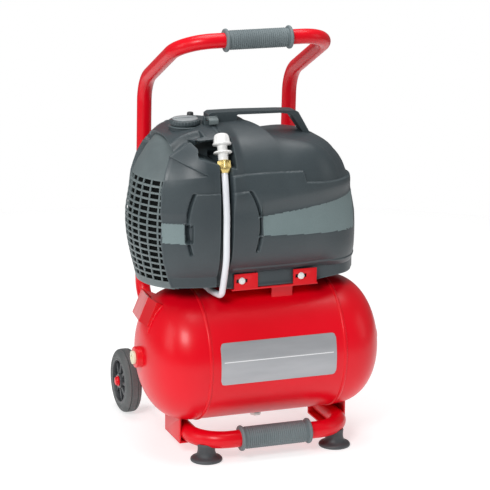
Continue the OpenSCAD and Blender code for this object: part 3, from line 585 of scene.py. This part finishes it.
def make_wheel(side, name):
    at = (0, AXLE_Y, AXLE_Z)
    inner = WHEEL_OUT - WHEEL_W
    mid = inner + WHEEL_W / 2
    line = []
    for k in range(25):
        t = -1 + 2 * k / 24
        crown = WHEEL_R - 9 * abs(t) ** 4.5
        if abs(abs(t) - 0.42) < 0.05:
            crown -= 2.0
        line.append((crown, mid + t * (WHEEL_W / 2 - 0.3)))
    line = [(45, inner + 0.8), (50, inner + 0.6), (51, inner + 0.1)] + line
    line += [(51, WHEEL_OUT - 0.1), (50, WHEEL_OUT - 0.6), (45, WHEEL_OUT - 0.8), (45, inner + 0.8)]
    lathe("tyre_tread_" + name, line, at, (side, 0, 0), TYRE, steps=128, body="wheel_" + name,
        stands_for=("tyre_" + name,), angle=45)
    parts = []
    rim = [(41, inner + 1), (45.1, inner + 1.2), (45.1, WHEEL_OUT - 1.2), (43.5, WHEEL_OUT - 0.4),
        (41, WHEEL_OUT - 0.6), (40, WHEEL_OUT - 3), (40, inner + 3), (41, inner + 1)]
    parts.append(lathe_mesh(rim, at, (side, 0, 0), 96))
    web = [(15, mid - 4), (41, mid - 2.5), (41, mid + 2.5), (15, mid + 4), (15, mid - 4)]
    parts.append(lathe_mesh(web, at, (side, 0, 0), 96))
    hub = [(6.1, inner + 0.5), (14, inner + 0.5), (15, inner + 1.5), (16, mid), (15, WHEEL_OUT - 1.5),
        (14, WHEEL_OUT - 0.5), (6.1, WHEEL_OUT - 0.5), (6.1, inner + 0.5)]
    parts.append(lathe_mesh(hub, at, (side, 0, 0), 64))
    for i in range(8):
        a = i * TAU / 8
        c, s = math.cos(a), math.sin(a)
        v, f = box((15, -3.2, inner + 3), (41.5, 3.2, WHEEL_OUT - 3), 1.2)
        h = v[:, 2] - (v[:, 0] - 15) * 0.10 * np.sign(v[:, 2] - mid)
        y = AXLE_Y + c * v[:, 0] - s * v[:, 1]
        z = AXLE_Z + s * v[:, 0] + c * v[:, 1]
        out = np.stack([side * h, y, z], -1)
        parts.append((out, f if side > 0 else [tuple(reversed(q)) for q in f]))
    add_piece("wheel_rim_" + name, *joined(parts), RIM, body="wheel_" + name, stands_for=("rim_" + name,))


def make_axle():
    caps = []
    for side in (1, -1):
        nut = [(6, WHEEL_OUT + 0.4), (10.4, WHEEL_OUT + 0.4), (10.4, WHEEL_OUT + 1.4),
            (8.4, WHEEL_OUT + 2.0), (8.2, WHEEL_OUT + 4.6), (7.0, WHEEL_OUT + 6.0), (3.5, WHEEL_OUT + 6.6),
            (0, WHEEL_OUT + 6.7)]
        caps.append(lathe_mesh(nut, (0, AXLE_Y, AXLE_Z), (side, 0, 0), 48))
        washer = [(6, 150.2), (11, 150.2), (11, 166.8), (10.4, 167.6), (6, 167.6), (6, 150.2)]
        caps.append(lathe_mesh(washer, (0, AXLE_Y, AXLE_Z), (side, 0, 0), 48))
    add_piece("push_nuts", *joined(caps[::2]), RED, stands_for=("axle_caps",))
    add_piece("axle_washers", *joined(caps[1::2]), ZINC)
    rod = [(0, -200), (5.4, -200), (6, -199), (6, 199), (5.4, 200), (0, 200)]
    lathe("axle_rod", rod, (0, AXLE_Y, AXLE_Z), (1, 0, 0), ZINC, steps=48, stands_for=("axle",))


FOOT_X, FOOT_Y = 127.8, -170.7


def make_feet():
    for side, name in ((1, "right"), (-1, "left")):
        line = [(0, 1.5), (20, 1.5), (22, 0), (28, 0), (29.4, 0.6), (30, 2.2), (29.6, 4.4), (28, 6.2),
            (24, 7.8), (20.5, 9.6), (18.4, 12.2), (17.2, 15.4), (16.4, 19.0), (16.2, 24.0), (16.6, 28.2),
            (17.0, 31.0), (16.0, 33.5), (0, 33.5)]
        lathe("foot_pad_" + name, line, (side * FOOT_X, FOOT_Y, 0), (0, 0, 1), FOOT, steps=72,
            stands_for=("foot_" + name,), angle=50)


# Shroud --------------------------------------------------------------------------------------

CX, CY, CZ = -21.0, -55.0, 440.0
HALF_L, HALF_R, HALF_W = 220.0, 211.0, 140.0
TOP, DROP, DROP_LEFT, HUMP = 618.0, 112.0, 135.0, 26.0
LIP_Z, LIP_BOTTOM, LIP_LEFT = 350.0, 321.5, 331.0
RAMP_X, RAMP_LENGTH = -23.0, 36.0
POWER = 2.6
SPLIT_X = -97.0
EDGE_Z = [321, 340, 383, 424, 469, 513, 548, 571, 594, 603, 606]
EDGE_X = [-188, -194, -207, -212, -212, -208, -198, -188, -160, -138, -126]
ARCH_X = -182.0
POCKET_Y = -116.0
CAP_X = -116.0
# Inset of the near-black sheet behind the grille openings, which paints their shade
SHADE_SHEET_INSET = 4.8
GRILLE_DEPTH, GRILLE_R = 2.4, 125.0
CAP_Z = [325, 340, 364, 387, 410, 433, 456, 479, 502, 513, 524, 543, 571, 590, 598]
CAP_R = [106, 109, 115, 120, 123.7, 125.4, 125, 121.5, 117.6, 115.7, 112, 103, 86, 71, 55]


def power(v, e):
    return np.sign(v) * np.abs(v) ** e


def taper(s, p):
    return (1 - np.minimum(np.abs(s), 1 - 1e-12) ** p) ** (1 / p)


def rise(x, y):
    """Height of the top above the widest level: higher on the left, with a ramp down to the right."""
    run = x - RAMP_X - 0.45 * np.maximum(0, -71 - y)
    length = RAMP_LENGTH + 2.4 * np.maximum(0, -118 - y)
    return TOP - CZ - HUMP * np.clip(run / length, 0, 1)


def drop(x):
    """Depth of the side below the widest level: the left moulding runs down straighter."""
    return np.where(x < SPLIT_X, DROP_LEFT, DROP)


def shoulder(x):
    """How much fuller the top is on the left moulding, and the same fading out at its end."""
    left = smooth((-55 - x) / 50)
    return left, left * smooth((x + 190) / 60)


def shroud_point(s, a):
    """Point of the bare outer surface at share s of the half-length and angle a round the section."""
    x = CX + np.where(s > 0, HALF_R, HALF_L) * s
    full, square = shoulder(x)
    right = smooth((x - 10) / 80)
    upper = np.sin(a) > 0
    bend = np.where(upper, POWER + 1.5 * square + 0.9 * right, lower_bend(x))
    y = CY - HALF_W * taper(s, 2.9) * power(np.cos(a), 2 / bend)
    up = np.where(upper, rise(x, y) * taper(s, 2.65 + 0.85 * full + 1.0 * right), drop(x) * low_taper(s))
    z = CZ + up * power(np.sin(a), 2 / bend)
    return np.stack([x - lean(z) * smooth((x - 80) / 90), y, z], -1)


def low_taper(s):
    """The lower half keeps nearly its whole depth right up to the right end."""
    return np.where(s > 0, np.maximum(taper(s, 7), 0.87), taper(s, 7))


def lean(z):
    """How far the right end is set back above the widest level."""
    return np.interp(z, [440, 480, 523, 560, 580, 600], [0, 5, 15, 16, 10, 4])


def lower_bend(x):
    """Squareness of the section below the widest level, fuller towards the right end."""
    return POWER + 1.8 * smooth((x - 92) / 70)


def lowest_angle(s):
    x = CX + np.where(s > 0, HALF_R, HALF_L) * s
    ratio = (CZ - LIP_Z) / (drop(x) * low_taper(s))
    return np.where(ratio < 1, -np.arcsin(np.minimum(ratio, 1) ** (lower_bend(x) / 2)), math.radians(-88))


def relief(x, y, z):
    """How far the mould detail stands out of the bare surface, in millimetres."""
    front = smooth((CY - 12 - y) / 30)
    d = np.zeros_like(x)
    # Left end: the surface drops back beyond the edge of the front panel
    corner = np.maximum(smooth((np.abs(y - CY) - 58) / 14), smooth((572 - z) / 14))
    d -= 9 * corner * soft(np.interp(z, EDGE_Z, EDGE_X) - x, 2.0)
    d += 1.0 * corner * bump_at(x - np.interp(z, EDGE_Z, EDGE_X) - 3, 2.0)
    # Channel for the white tube
    d -= 17 * front * soft(x + 108, 2.2) * soft(-86 - x, 2.2) * soft(572 - z, 8)
    # Raised lower panel with its stepped upper edge
    edge = np.interp(x, [-80, 52, 57, 160], [540, 539, 519, 512])
    d += 4.0 * front * soft(edge - z, 2.4) * smooth((z - 470) / 40) * soft(x + 84, 3)
    # Light wedge on the right
    high = 462 + (x + 30) * 0.103
    base = 426 - (x + 30) * 0.05
    t = (high - z) / (high - base)
    wedge = np.where(t < 0, smooth(1 - (z - high) / 30), np.where(t < 1, 1 - t, 0))
    d -= 6.0 * front * wedge * soft(x + 29, 2.4) * smooth((200 - x) / 40)
    # Light band on the left
    t = (455 - z) / 38
    band = np.where(t < 0, smooth(1 - (z - 455) / 22), np.where(t < 1, 1 - t, 0))
    d -= 4.5 * front * band * soft(-170 - x, 2.4) * soft(x - np.interp(z, EDGE_Z, EDGE_X), 2)
    # Shallow panel between two curved grooves, with a small tick at each end of their middle part
    h = (z - 447) / 63
    left_line = -168 + 13 * h ** 2
    right_line = -32 - np.where(h > 0, 20, 8) * h ** 2
    tick = bump_at(z - np.where(x > -100, 462, 454), 1.3) + bump_at(z - np.where(x > -100, 426, 418), 1.3)
    groove = bump_at(x - left_line, 2.4) + bump_at(x - right_line, 2.4)
    d -= 7.0 * front * groove * soft(510 - z, 4) * soft(z - 396, 4) * (1 - np.minimum(tick, 1))
    slot = soft(x + 171, 2) * soft(-158 - x, 2) * soft(452 - z, 2) * soft(z - 420, 2)
    d -= 8.0 * front * slot
    near = soft(x - left_line + 7, 2) * soft(left_line + 5 - x, 2)
    near += soft(x - right_line + 5, 2) * soft(right_line + 7 - x, 2)
    d += 2.0 * front * np.minimum(tick, 1) * near
    inside = soft(x - left_line - 2, 3) * soft(right_line - 2 - x, 3)
    d += 3.0 * front * inside * soft(510 - z, 2) * smooth((z - 400) / 60)
    # Creases of the left cheek
    c1 = 571 - (x + 187) * 0.50
    c2 = 532 + (x + 200) * 0.15
    cheek = front * soft(x - np.interp(z, EDGE_Z, EDGE_X), 3) * smooth((-112 - x) / 22)
    d += 3.4 * cheek * soft(z - c1, 2) * smooth(1 - (z - c1) / 45)
    t = np.clip((c1 - z) / np.maximum(c1 - c2, 1), 0, 1)
    d += 3.0 * cheek * np.where(z > c2, t * soft(c1 - z, 2), smooth(1 - (c2 - z) / 55) * soft(c1 - z, 2))
    # Crease above the lower lip, and the rounded lip itself
    d += 1.6 * front * soft(362 - z, 2) * soft(x + 78, 4)
    d += 1.2 * bump_at(z - LIP_BOTTOM - 2, 2.5)
    # Parting line over the top
    part = x - np.interp(y, [-190, -112, -73, 90], [-97, -90, -80, -80])
    d -= 2.0 * bump_at(part, 0.9) * soft(z - 596, 6)
    return d


def pocket(x, y, z):
    """How far the shell is pushed straight back round the elbow."""
    top = 599 + (x + 146) * 0.07
    low = 573 - (x + 143) * 0.30
    left = np.where(z > 588, -141 - (z - 588) * 0.85, -141 - (588 - z) * 0.12)
    share = soft(top - z, 2.5) * soft(z - low, 2.5) * soft(x - left, 2.5) * soft(-77 - x, 3)
    return share * np.maximum(POCKET_Y - y, 0)


def tuck_under(outer, z, x):
    """Past the end of the shell its points go inside the end cap, which leaves a clear rim."""
    past = soft(np.minimum(np.interp(z, EDGE_Z, EDGE_X), ARCH_X) - x, 1.8)
    sunk = outer[..., 2] - 14 * smooth((z - 555) / 30)
    dx, dy = outer[..., 0] - CAP_X, outer[..., 1] - CY
    r = np.hypot(dx, dy)
    share = np.minimum(1, (np.interp(sunk, CAP_Z, CAP_R) - 28) / np.maximum(r, 1))
    hidden = np.stack([CAP_X + dx * share, CY + dy * share, sunk], -1)
    return outer + (hidden - outer) * past[..., None]


def shroud_surface(xs, front_step=1.7, rear_step=5.0):
    """Grid of points on the bare outer surface and its lip, and the normals there."""
    s = (np.asarray(xs) - CX) / np.where(np.asarray(xs) > CX, HALF_R, HALF_L)
    a = np.linspace(math.radians(-50), math.pi - math.radians(-50), 1500)
    mid = shroud_point(np.full_like(a, 0.0), a)
    run = np.r_[0, np.cumsum(np.linalg.norm(np.diff(mid, axis=0), axis=1))]
    total = run[-1]
    marks = np.r_[np.arange(0, total * 0.56, front_step), np.arange(total * 0.56, total, rear_step), total]
    share = np.interp(marks, run, np.linspace(0, 1, len(a)))
    low = lowest_angle(s)
    ang = low[:, None] + (math.pi - 2 * low)[:, None] * share[None, :]
    pts = shroud_point(s[:, None] + 0 * ang, ang)
    lip_rows = 12
    bottom = np.where(pts[:, 0, 0] < SPLIT_X, LIP_LEFT, LIP_BOTTOM + 9 * smooth((pts[:, 0, 0] - 75) / 70))
    edge_z = np.where(low > math.radians(-87), bottom, pts[:, 0, 2] - 0.5)
    fronts = []
    backs = []
    for k in range(lip_rows):
        t = k / lip_rows
        f = pts[:, 0].copy()
        f[:, 2] = edge_z + (pts[:, 0, 2] - edge_z) * t
        fronts.append(f)
        b = pts[:, -1].copy()
        b[:, 2] = pts[:, -1, 2] + (edge_z - pts[:, -1, 2]) * (k + 1) / lip_rows
        backs.append(b)
    pts = np.concatenate([np.stack(fronts, 1), pts, np.stack(backs, 1)], 1)
    du = np.gradient(pts, axis=0)
    dv = np.gradient(pts, axis=1)
    n = np.cross(dv, du)
    n /= np.linalg.norm(n, axis=2)[:, :, None] + 1e-12
    inward = np.sum(n * (pts - np.array([CX, CY, CZ])), axis=2) < 0
    n[inward] *= -1
    return pts, n


def shell_piece(name, xs, thick, mat, step, **kw):
    """A moulding: the finished outer surface with an inner one behind it, closed round its rim."""
    pts, n = shroud_surface(xs, step)
    lift = relief(pts[..., 0], pts[..., 1], pts[..., 2])
    outer = pts + n * lift[..., None]
    back = pocket(pts[..., 0], pts[..., 1], pts[..., 2])
    outer[..., 1] += back
    outer = tuck_under(outer, pts[..., 2], pts[..., 0])
    calm = lift.copy()
    for _ in range(6):
        beside = calm[:-2, 1:-1] + calm[2:, 1:-1] + calm[1:-1, :-2] + calm[1:-1, 2:]
        calm[1:-1, 1:-1] = (calm[1:-1, 1:-1] * 2 + beside) / 6
    inner = pts + n * (np.minimum(lift, calm) - thick)[..., None]
    inner[..., 1] += back
    inner = tuck_under(inner, pts[..., 2], pts[..., 0])
    inner[..., 0] += 3 * (pts[..., 0] < ARCH_X)
    rows, cols = pts.shape[:2]
    faces = closed_sheet(rows, cols)
    verts = np.concatenate([outer.reshape(-1, 3), inner.reshape(-1, 3)])
    piece = add_piece(name, verts, faces, mat, **kw)
    paint_facet_highlights(piece)
    return piece


def paint_facet_highlights(piece):
    """The two plain facets at mid height get a lighter tone: a painted highlight where they face up into
    the light.
    """
    piece.data.materials.append(LIT_FACET_TONE)
    for face in piece.data.polygons:
        x, y, z = face.center / MM
        if y > CY - 60 or face.normal.y > -0.2:
            continue
        # Faces of the right wedge and the left band take the lighter painted highlight
        right = -27 < x < 172 and 427 - (x + 30) * 0.05 < z < 461 + (x + 30) * 0.103
        left = -168 - 40 < x < -171 and 418 < z < 454 and x > np.interp(z, EDGE_Z, EDGE_X) + 3
        if right or left:
            face.material_index = 1


def make_shroud():
    left = np.r_[-226, -222, np.arange(-219, SPLIT_X - 0.2, 1.25), SPLIT_X - 0.2]
    end_turns = np.linspace(math.asin(181.5 / HALF_R), math.pi / 2, 31)
    right = np.r_[np.arange(SPLIT_X + 0.2, 160, 1.7), CX + HALF_R * np.sin(end_turns)]
    shell_piece("shroud_front_left", left, 3.0, SHROUD, 1.25, stands_for=("shroud_left",), angle=34)
    shell_piece("shroud_main", right, 3.0, SHROUD, 1.6, stands_for=("shroud_right",), angle=34)


def cap_point(turn, z, inset):
    """Point of the end cap, which is round about an upright axis, moved inwards by inset."""
    r = np.interp(z, CAP_Z, CAP_R) - inset
    return np.stack([CAP_X - r * np.cos(turn), CY + r * np.sin(turn), z + 0 * turn], -1)


def make_cap():
    """Barrel-shaped end with rows of openings, a smooth roof, a floor, and a near-black sheet just inside
    that paints the shade behind the openings.
    """
    columns = 9
    side = 3.0
    pitch = 23.5
    post = 3.4
    offset = 6.5
    total = columns * pitch + 2 * side + post
    marks = [0.0, side / 2]
    solid_col = [True, True]
    for i in range(columns):
        start = side + i * pitch
        marks += [start, start + post / 2]
        marks += [start + post + (pitch - post) * k / 4 for k in range(4)]
        solid_col += [True] * 2 + [False] * 4
    start = side + columns * pitch
    marks += [start, start + post / 2, start + post, total]
    solid_col += [True] * 4
    us = (np.array(marks) - total / 2 - offset) / GRILLE_R
    zs = [325.0, 330.0]
    solid_row = [True, True]
    rows = 16
    first, step, bar = 335.0, 11.9, 3.4
    for j in range(rows):
        z = first + j * step
        zs += [z, z + bar, z + bar + (step - bar) / 2]
        solid_row += [True, False, False]
    z = first + rows * step
    zs += [z, z + 2, z + 5]
    solid_row += [True, True, True]
    zs += list(np.linspace(z + 8, 597.5, 22))
    solid_row += [True] * 22
    zs = np.array(zs)
    turns = np.linspace(-1.0, 1.0, 40)
    heights = np.linspace(330, 545, 30)
    grid = [cap_point(us[None, :] + 0 * zs[:, None], zs[:, None] + 0 * us[None, :], d)
        for d in (0.0, GRILLE_DEPTH)]
    nr, nc = len(zs), len(us)
    count = nr * nc
    open_cell = np.zeros((nr - 1, nc - 1), bool)
    for i in range(nr - 1):
        for j in range(nc - 1):
            open_cell[i, j] = not solid_row[i] and not solid_col[j]
    faces = []
    for i in range(nr - 1):
        for j in range(nc - 1):
            if open_cell[i, j]:
                continue
            a, b, c, d = i * nc + j, (i + 1) * nc + j, (i + 1) * nc + j + 1, i * nc + j + 1
            faces.append((a, b, c, d))
            faces.append((d + count, c + count, b + count, a + count))
            sides = (((a, b), (i, j - 1)), ((b, c), (i + 1, j)), ((c, d), (i, j + 1)), ((d, a), (i - 1, j)))
            for (p, q), (ni, nj) in sides:
                outside = ni < 0 or nj < 0 or ni >= nr - 1 or nj >= nc - 1
                if outside or open_cell[ni, nj]:
                    faces.append((q, p, p + count, q + count))
    verts = np.concatenate([g.reshape(-1, 3) for g in grid])
    # Near-black sheet just inside the openings: painted shade where the inside would lie in shadow
    shade_sheet = [cap_point(turns[None, :] + 0 * heights[:, None], heights[:, None] + 0 * turns[None, :], d)
        for d in (SHADE_SHEET_INSET, SHADE_SHEET_INSET + 2)]
    shade_sheet_faces = closed_sheet(len(heights), len(turns))
    r = 104.0
    rim = [(CAP_X - r * math.cos(t), CY + r * math.sin(t)) for t in turns]
    rim = [(min(p[0], -134.0), p[1]) for p in rim] + [(-100.0, CY + 96), (-100.0, CY - 84)]
    verts, faces = joined([(verts, faces), prism(rim, "z", 325.5, 328, 0),
        (np.concatenate([g.reshape(-1, 3) for g in shade_sheet]), shade_sheet_faces)])
    piece = add_piece("end_grille", verts, faces, LATTICE, slot="shroud_plastic",
        stands_for=("intake_grille",), angle=40)
    # Faces of that inner sheet get the near-black painted shade
    piece.data.materials.append(SHADE_PAINT)
    for face in piece.data.polygons:
        x, y, z = face.center / MM
        if math.hypot(x - CAP_X, y - CY) < np.interp(z, CAP_Z, CAP_R) - SHADE_SHEET_INSET + 2:
            face.material_index = 1


# Top of the shroud ---------------------------------------------------------------------------

def make_strap():
    outline = [(-92, 616), (-92, 631), (-86, 634.5), (-34, 634), (48, 631), (76, 629), (84, 626),
        (112, 577.2), (97, 582.4), (70, 622), (48, 626), (-37, 628), (-37, 616)]
    outline = round_corners(outline, [3, 3, 6, 20, 14, 5, 5, 2, 2, 6, 14, 3, 2], 6)
    bar = prism(outline, "y", -75, -45, 1.6, 3)
    base = box((-106, -91, 613), (-80, -75, 623.3), 1.2)
    ears = [box((x, -91, 622), (x + 3.7, -83, 631), 1.2) for x in (-106, -83.7)]
    pin = lathe_mesh([(0, -104), (2, -104), (2, -82), (0, -82)], (0, -87, 627), (1, 0, 0), 24)
    add_piece("strap_handle", *joined([bar, base, pin] + ears), SHROUD, stands_for=("carry_handle",),
        angle=34)


def make_catch():
    side = round_corners([(-83.5, 623.5), (-83.5, 630.5), (-101, 631), (-108.5, 628), (-108.5, 619.5),
        (-105.5, 619.5), (-104.5, 625.5), (-99, 626.5)], [3, 3, 4, 4, 1, 1, 2, 2], 5)
    plate = prism(side, "x", -101.7, -84.3, 0.8, 2)
    ribs = [box((-100, -92 - k * 3.4, 629.8), (-86, -90.4 - k * 3.4, 631.6), 0.5) for k in range(3)]
    add_piece("catch_lever", *joined([plate] + ribs), LATTICE, body="catch", slot="shroud_plastic",
        stands_for=("shroud_catch",), angle=34)


KNOB_X, KNOB_Y = -135.0, -67.0


def make_knob():
    at = (KNOB_X, KNOB_Y, 0)
    line = [(0, 615.5), (26.5, 615.5), (27.5, 616.4), (28.4, 618.5), (28.5, 622), (27.8, 624), (25.6, 625),
        (0, 625)]

    def flutes(ang, r, h):
        return -0.8 * np.abs(np.sin(ang * 14)) ** 3 * (1 if r > 26 and h > 617 and h < 624.5 else 0)

    skirt = lathe_mesh(line, at, (0, 0, 1), 168, ripple=flutes)
    stem = lathe_mesh([(0, 582), (5, 582), (5, 616), (0, 616)], at, (0, 0, 1), 32)
    add_piece("knob_skirt", *joined([skirt, stem]), SHROUD, body="switch", slot="knob_plastic",
        stands_for=("switch_knob",), angle=34)
    top = lathe_mesh([(0, 624.8), (23.4, 624.8), (23.8, 625.6), (23.2, 626.8), (21.5, 627.4), (0, 627.4)],
        at, (0, 0, 1), 96)
    ridge = prism(round_corners([(-22, -4.2), (22, -2.6), (22, 2.6), (-22, 4.2)], 2.2, 4), "z", 627, 629.4,
        0.9)
    ridge = (ridge[0] + np.array([KNOB_X, KNOB_Y, 0]), ridge[1])
    add_piece("knob_top", *joined([top, ridge]), KNOB, body="switch", angle=34)
    bezel = [(5.2, 580), (29, 580), (29.8, 582), (29.8, 611), (31.0, 612), (31.0, 613.2), (30, 614),
        (5.2, 614), (5.2, 580)]
    bezel = lathe_mesh(bezel, at, (0, 0, 1), 96)
    collar = [(6.1, 604), (9.5, 604), (9.5, 616), (8.8, 621), (7.5, 622.5), (6.1, 622.5), (6.1, 604)]
    collar = lathe_mesh(collar, (-112, -28, 0), (0, 0, 1), 48)
    add_piece("knob_bezel", *joined([bezel, collar]), SHROUD, stands_for=("switch_bezel",))
    button = [(0, 604), (5.9, 604), (6, 605), (6, 627), (5.2, 628.6), (3, 629), (0, 629)]
    lathe("overload_button", button, (-112, -28, 0), (0, 0, 1), BLACK, steps=48, body="reset",
        stands_for=("reset_button",))


# Vacuum line ---------------------------------------------------------------------------------

ELBOW_TOP = np.array([-94.4, -150.0, 611.0])
TUBE_TOP = np.array([-99.0, -188.7, 527.7])


def hex_body(origin, axis, r, low, high, chamfer, steps=96):
    """Hexagonal nut body with turned chamfers."""
    u, v, w = direction_frame(axis)
    ang = np.arange(steps) * TAU / steps
    flat = r * math.cos(math.pi / 6) / np.cos((ang + math.pi / 6) % (math.pi / 3) - math.pi / 6)
    verts = []
    inner = r * math.cos(math.pi / 6) * 0.96
    levels = [(inner, low), (None, low + chamfer), (None, high - chamfer), (inner, high)]
    rings = []
    for limit, h in levels:
        rings.append((np.minimum(flat, limit) if limit else np.minimum(flat, r * 0.985), h))
    for rr, h in rings:
        round_way = np.cos(ang)[:, None] * u + np.sin(ang)[:, None] * v
        verts.append(np.asarray(origin) + rr[:, None] * round_way + h * w)
    faces = grid_faces(len(rings), steps, wrap_cols=True)
    faces += end_caps(len(rings), steps)
    return np.concatenate(verts), faces


def make_line():
    axis = (TUBE_TOP - ELBOW_TOP) / np.linalg.norm(TUBE_TOP - ELBOW_TOP)
    top = ELBOW_TOP
    line = [(0, -1.0), (5, -0.8), (9, 0.2), (12, 2.2), (13.6, 5), (14.6, 9), (15.2, 14), (15.4, 16.6),
        (16.8, 17.2), (17.2, 18.5), (17.0, 20), (16, 20.8), (10.2, 21.4), (9.2, 22.5), (9.0, 31),
        (9.6, 32.4), (15.8, 33), (16.8, 33.8), (16.8, 35.6), (15.6, 36.5), (10, 37.2), (9.2, 38.6),
        (9.2, 49.6), (0, 49.8)]

    def facets(ang, r, h):
        return -0.8 * np.abs(np.sin(ang * 4)) ** 6 * (1 if 3 < h < 16.8 and r > 12 else 0)

    body = lathe_mesh(line, top, axis, 96, ripple=facets)
    branch = sweep_mesh([(-94.4, -157, 596), (-94.4, -140, 596), (-94.4, -118.5, 596)], 8.0, 40)
    add_piece("elbow", *joined([body, branch]), WHITE, stands_for=("elbow_fitting",))
    nut = hex_body(top, axis, 14.0, 50, 65.5, 1.8)
    cone = lathe_mesh([(6.2, 65.0), (12.2, 65.3), (11.6, 67), (9.4, 70.5), (7.8, 73), (6.2, 73.2),
        (6.2, 65.0)], top, axis, 64)
    add_piece("compression_nut", *joined([nut, cone]), BRASS, stands_for=("tube_nut",), angle=28)
    line = filleted([top + axis * 50.5, TUBE_TOP, (-98, -194, 469), (-98, -193, 386), (-98, -178, 341),
        (-99, -170, 313), (-106, -128, 313), (-118, -106, 326), (-118, -97, 326)],
        [0, 100, 180, 100, 60, 14, 16, 8, 0], 2.0)
    sweep("white_tube", line, 6.0, TUBE, 32, stands_for=("vacuum_tube",), angle=60)
    softened("tank_fitting", BRASS, 0.6)


# Inner parts keep their CAD shapes -------------------------------------------------------------

def dress_inner():
    looks = (
        (ZINC, "foot_screws"),
        (STEEL, "inlet_pipe motor_stator motor_rotor shaft bearings"),
        (MOTOR, "motor_housing motor_cradle"),
        (COPPER, "motor_windings"),
        (IRON, "pump_cylinder pump_rotor pump_end_plates mount_bolts"),
        (CARBON, "pump_vanes"),
        (BLACK, "cooling_fan silencer start_capacitor"),
        (FOOT, "rubber_mounts"),
    )
    for mat, names in looks:
        for name in names.split():
            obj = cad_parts[name]
            obj.data.materials.clear()
            obj.data.materials.append(mat)


# Stage ------------------------------------------------------------------------------------------

def stage_material():
    mat = bpy.data.materials.new("studio_floor")
    mat.use_nodes = True
    shader = mat.node_tree.nodes["Principled BSDF"]
    shader.inputs["Base Color"].default_value = (0.52, 0.52, 0.52, 1)
    shader.inputs["Roughness"].default_value = 0.75
    shader.inputs["Specular IOR Level"].default_value = 0.15
    shader.inputs["Emission Color"].default_value = (1, 1, 1, 1)
    shader.inputs["Emission Strength"].default_value = 0.62
    return mat


def area_light(name, at, aim, size, energy, tone=(1, 1, 1)):
    lamp = bpy.data.lights.new(name, "AREA")
    lamp.shape = "RECTANGLE"
    lamp.size, lamp.size_y = size
    lamp.energy = energy
    lamp.color = tone
    obj = bpy.data.objects.new(name, lamp)
    obj.location = at
    obj.rotation_euler = (Vector(aim) - Vector(at)).to_track_quat("-Z", "Y").to_euler()
    bpy.context.collection.objects.link(obj)


def make_stage():
    mesh = bpy.data.meshes.new("floor")
    ring = [(1.8 * math.cos(k * TAU / 96), 1.8 * math.sin(k * TAU / 96), -0.0005) for k in range(96)]
    mesh.from_pydata(ring, [], [tuple(range(96))])
    mesh.materials.append(stage_material())
    floor = bpy.data.objects.new("floor", mesh)
    bpy.context.collection.objects.link(floor)
    world = bpy.data.worlds.new("studio")
    bpy.context.scene.world = world
    world.use_nodes = True
    tree = world.node_tree
    plain = tree.nodes["Background"]
    plain.inputs["Color"].default_value = (1, 1, 1, 1)
    plain.inputs["Strength"].default_value = 0.22
    backdrop = tree.nodes.new("ShaderNodeBackground")
    backdrop.inputs["Color"].default_value = (1, 1, 1, 1)
    rays = tree.nodes.new("ShaderNodeLightPath")
    mix = tree.nodes.new("ShaderNodeMixShader")
    tree.links.new(rays.outputs["Is Camera Ray"], mix.inputs["Fac"])
    tree.links.new(plain.outputs["Background"], mix.inputs[1])
    tree.links.new(backdrop.outputs["Background"], mix.inputs[2])
    tree.links.new(mix.outputs["Shader"], tree.nodes["World Output"].inputs["Surface"])
    # Place, aim, size and power of each light, in metres and watts
    area_light("key", (-1.9, -2.3, 2.4), (0, 0, 0.35), (1.1, 1.1), 68)
    area_light("top", (0.2, 0.1, 3.0), (0, 0, 0.3), (2.0, 2.0), 58)
    area_light("left", (-2.6, -0.3, 1.3), (0, 0, 0.4), (1.0, 1.6), 13)
    area_light("right", (2.6, -1.4, 1.2), (0, 0, 0.35), (1.0, 1.6), 6)
    bpy.context.scene.view_settings.view_transform = "Standard"


def make_camera():
    yaw, pitch, roll, distance = math.radians(20.0), math.radians(14.74), math.radians(0.4), 4.435
    target = Vector((-0.0008, -0.0232, 0.3646))
    forward = Vector((math.sin(yaw) * math.cos(pitch), math.cos(yaw) * math.cos(pitch), -math.sin(pitch)))
    right = forward.cross(Vector((0, 0, 1))).normalized()
    up = right.cross(forward)
    turned_right = right * math.cos(roll) + up * math.sin(roll)
    turned_up = up * math.cos(roll) - right * math.sin(roll)
    data = bpy.data.cameras.new("camera")
    data.lens = 172.4
    data.sensor_width = 36.0
    obj = bpy.data.objects.new("camera", data)
    place = Matrix((turned_right, turned_up, -forward)).transposed().to_4x4()
    place.translation = target - forward * distance
    obj.matrix_world = place
    bpy.context.collection.objects.link(obj)
    bpy.context.scene.camera = obj


make_camera()
make_tank()
make_label()
make_brackets()
make_tubes()
grip("front_sleeve", (0, BAR_Y, FRONT_Z), 138, FRONT_R, 21, 24, "front_grip")
grip("handle_sleeve", (0, -80, 768), 129, HANDLE_R, 18, 21.5, "handle_grip")
make_wheel(1, "right")
make_wheel(-1, "left")
make_axle()
make_feet()
make_shroud()
make_cap()
make_strap()
make_catch()
make_knob()
make_line()
dress_inner()
make_stage()
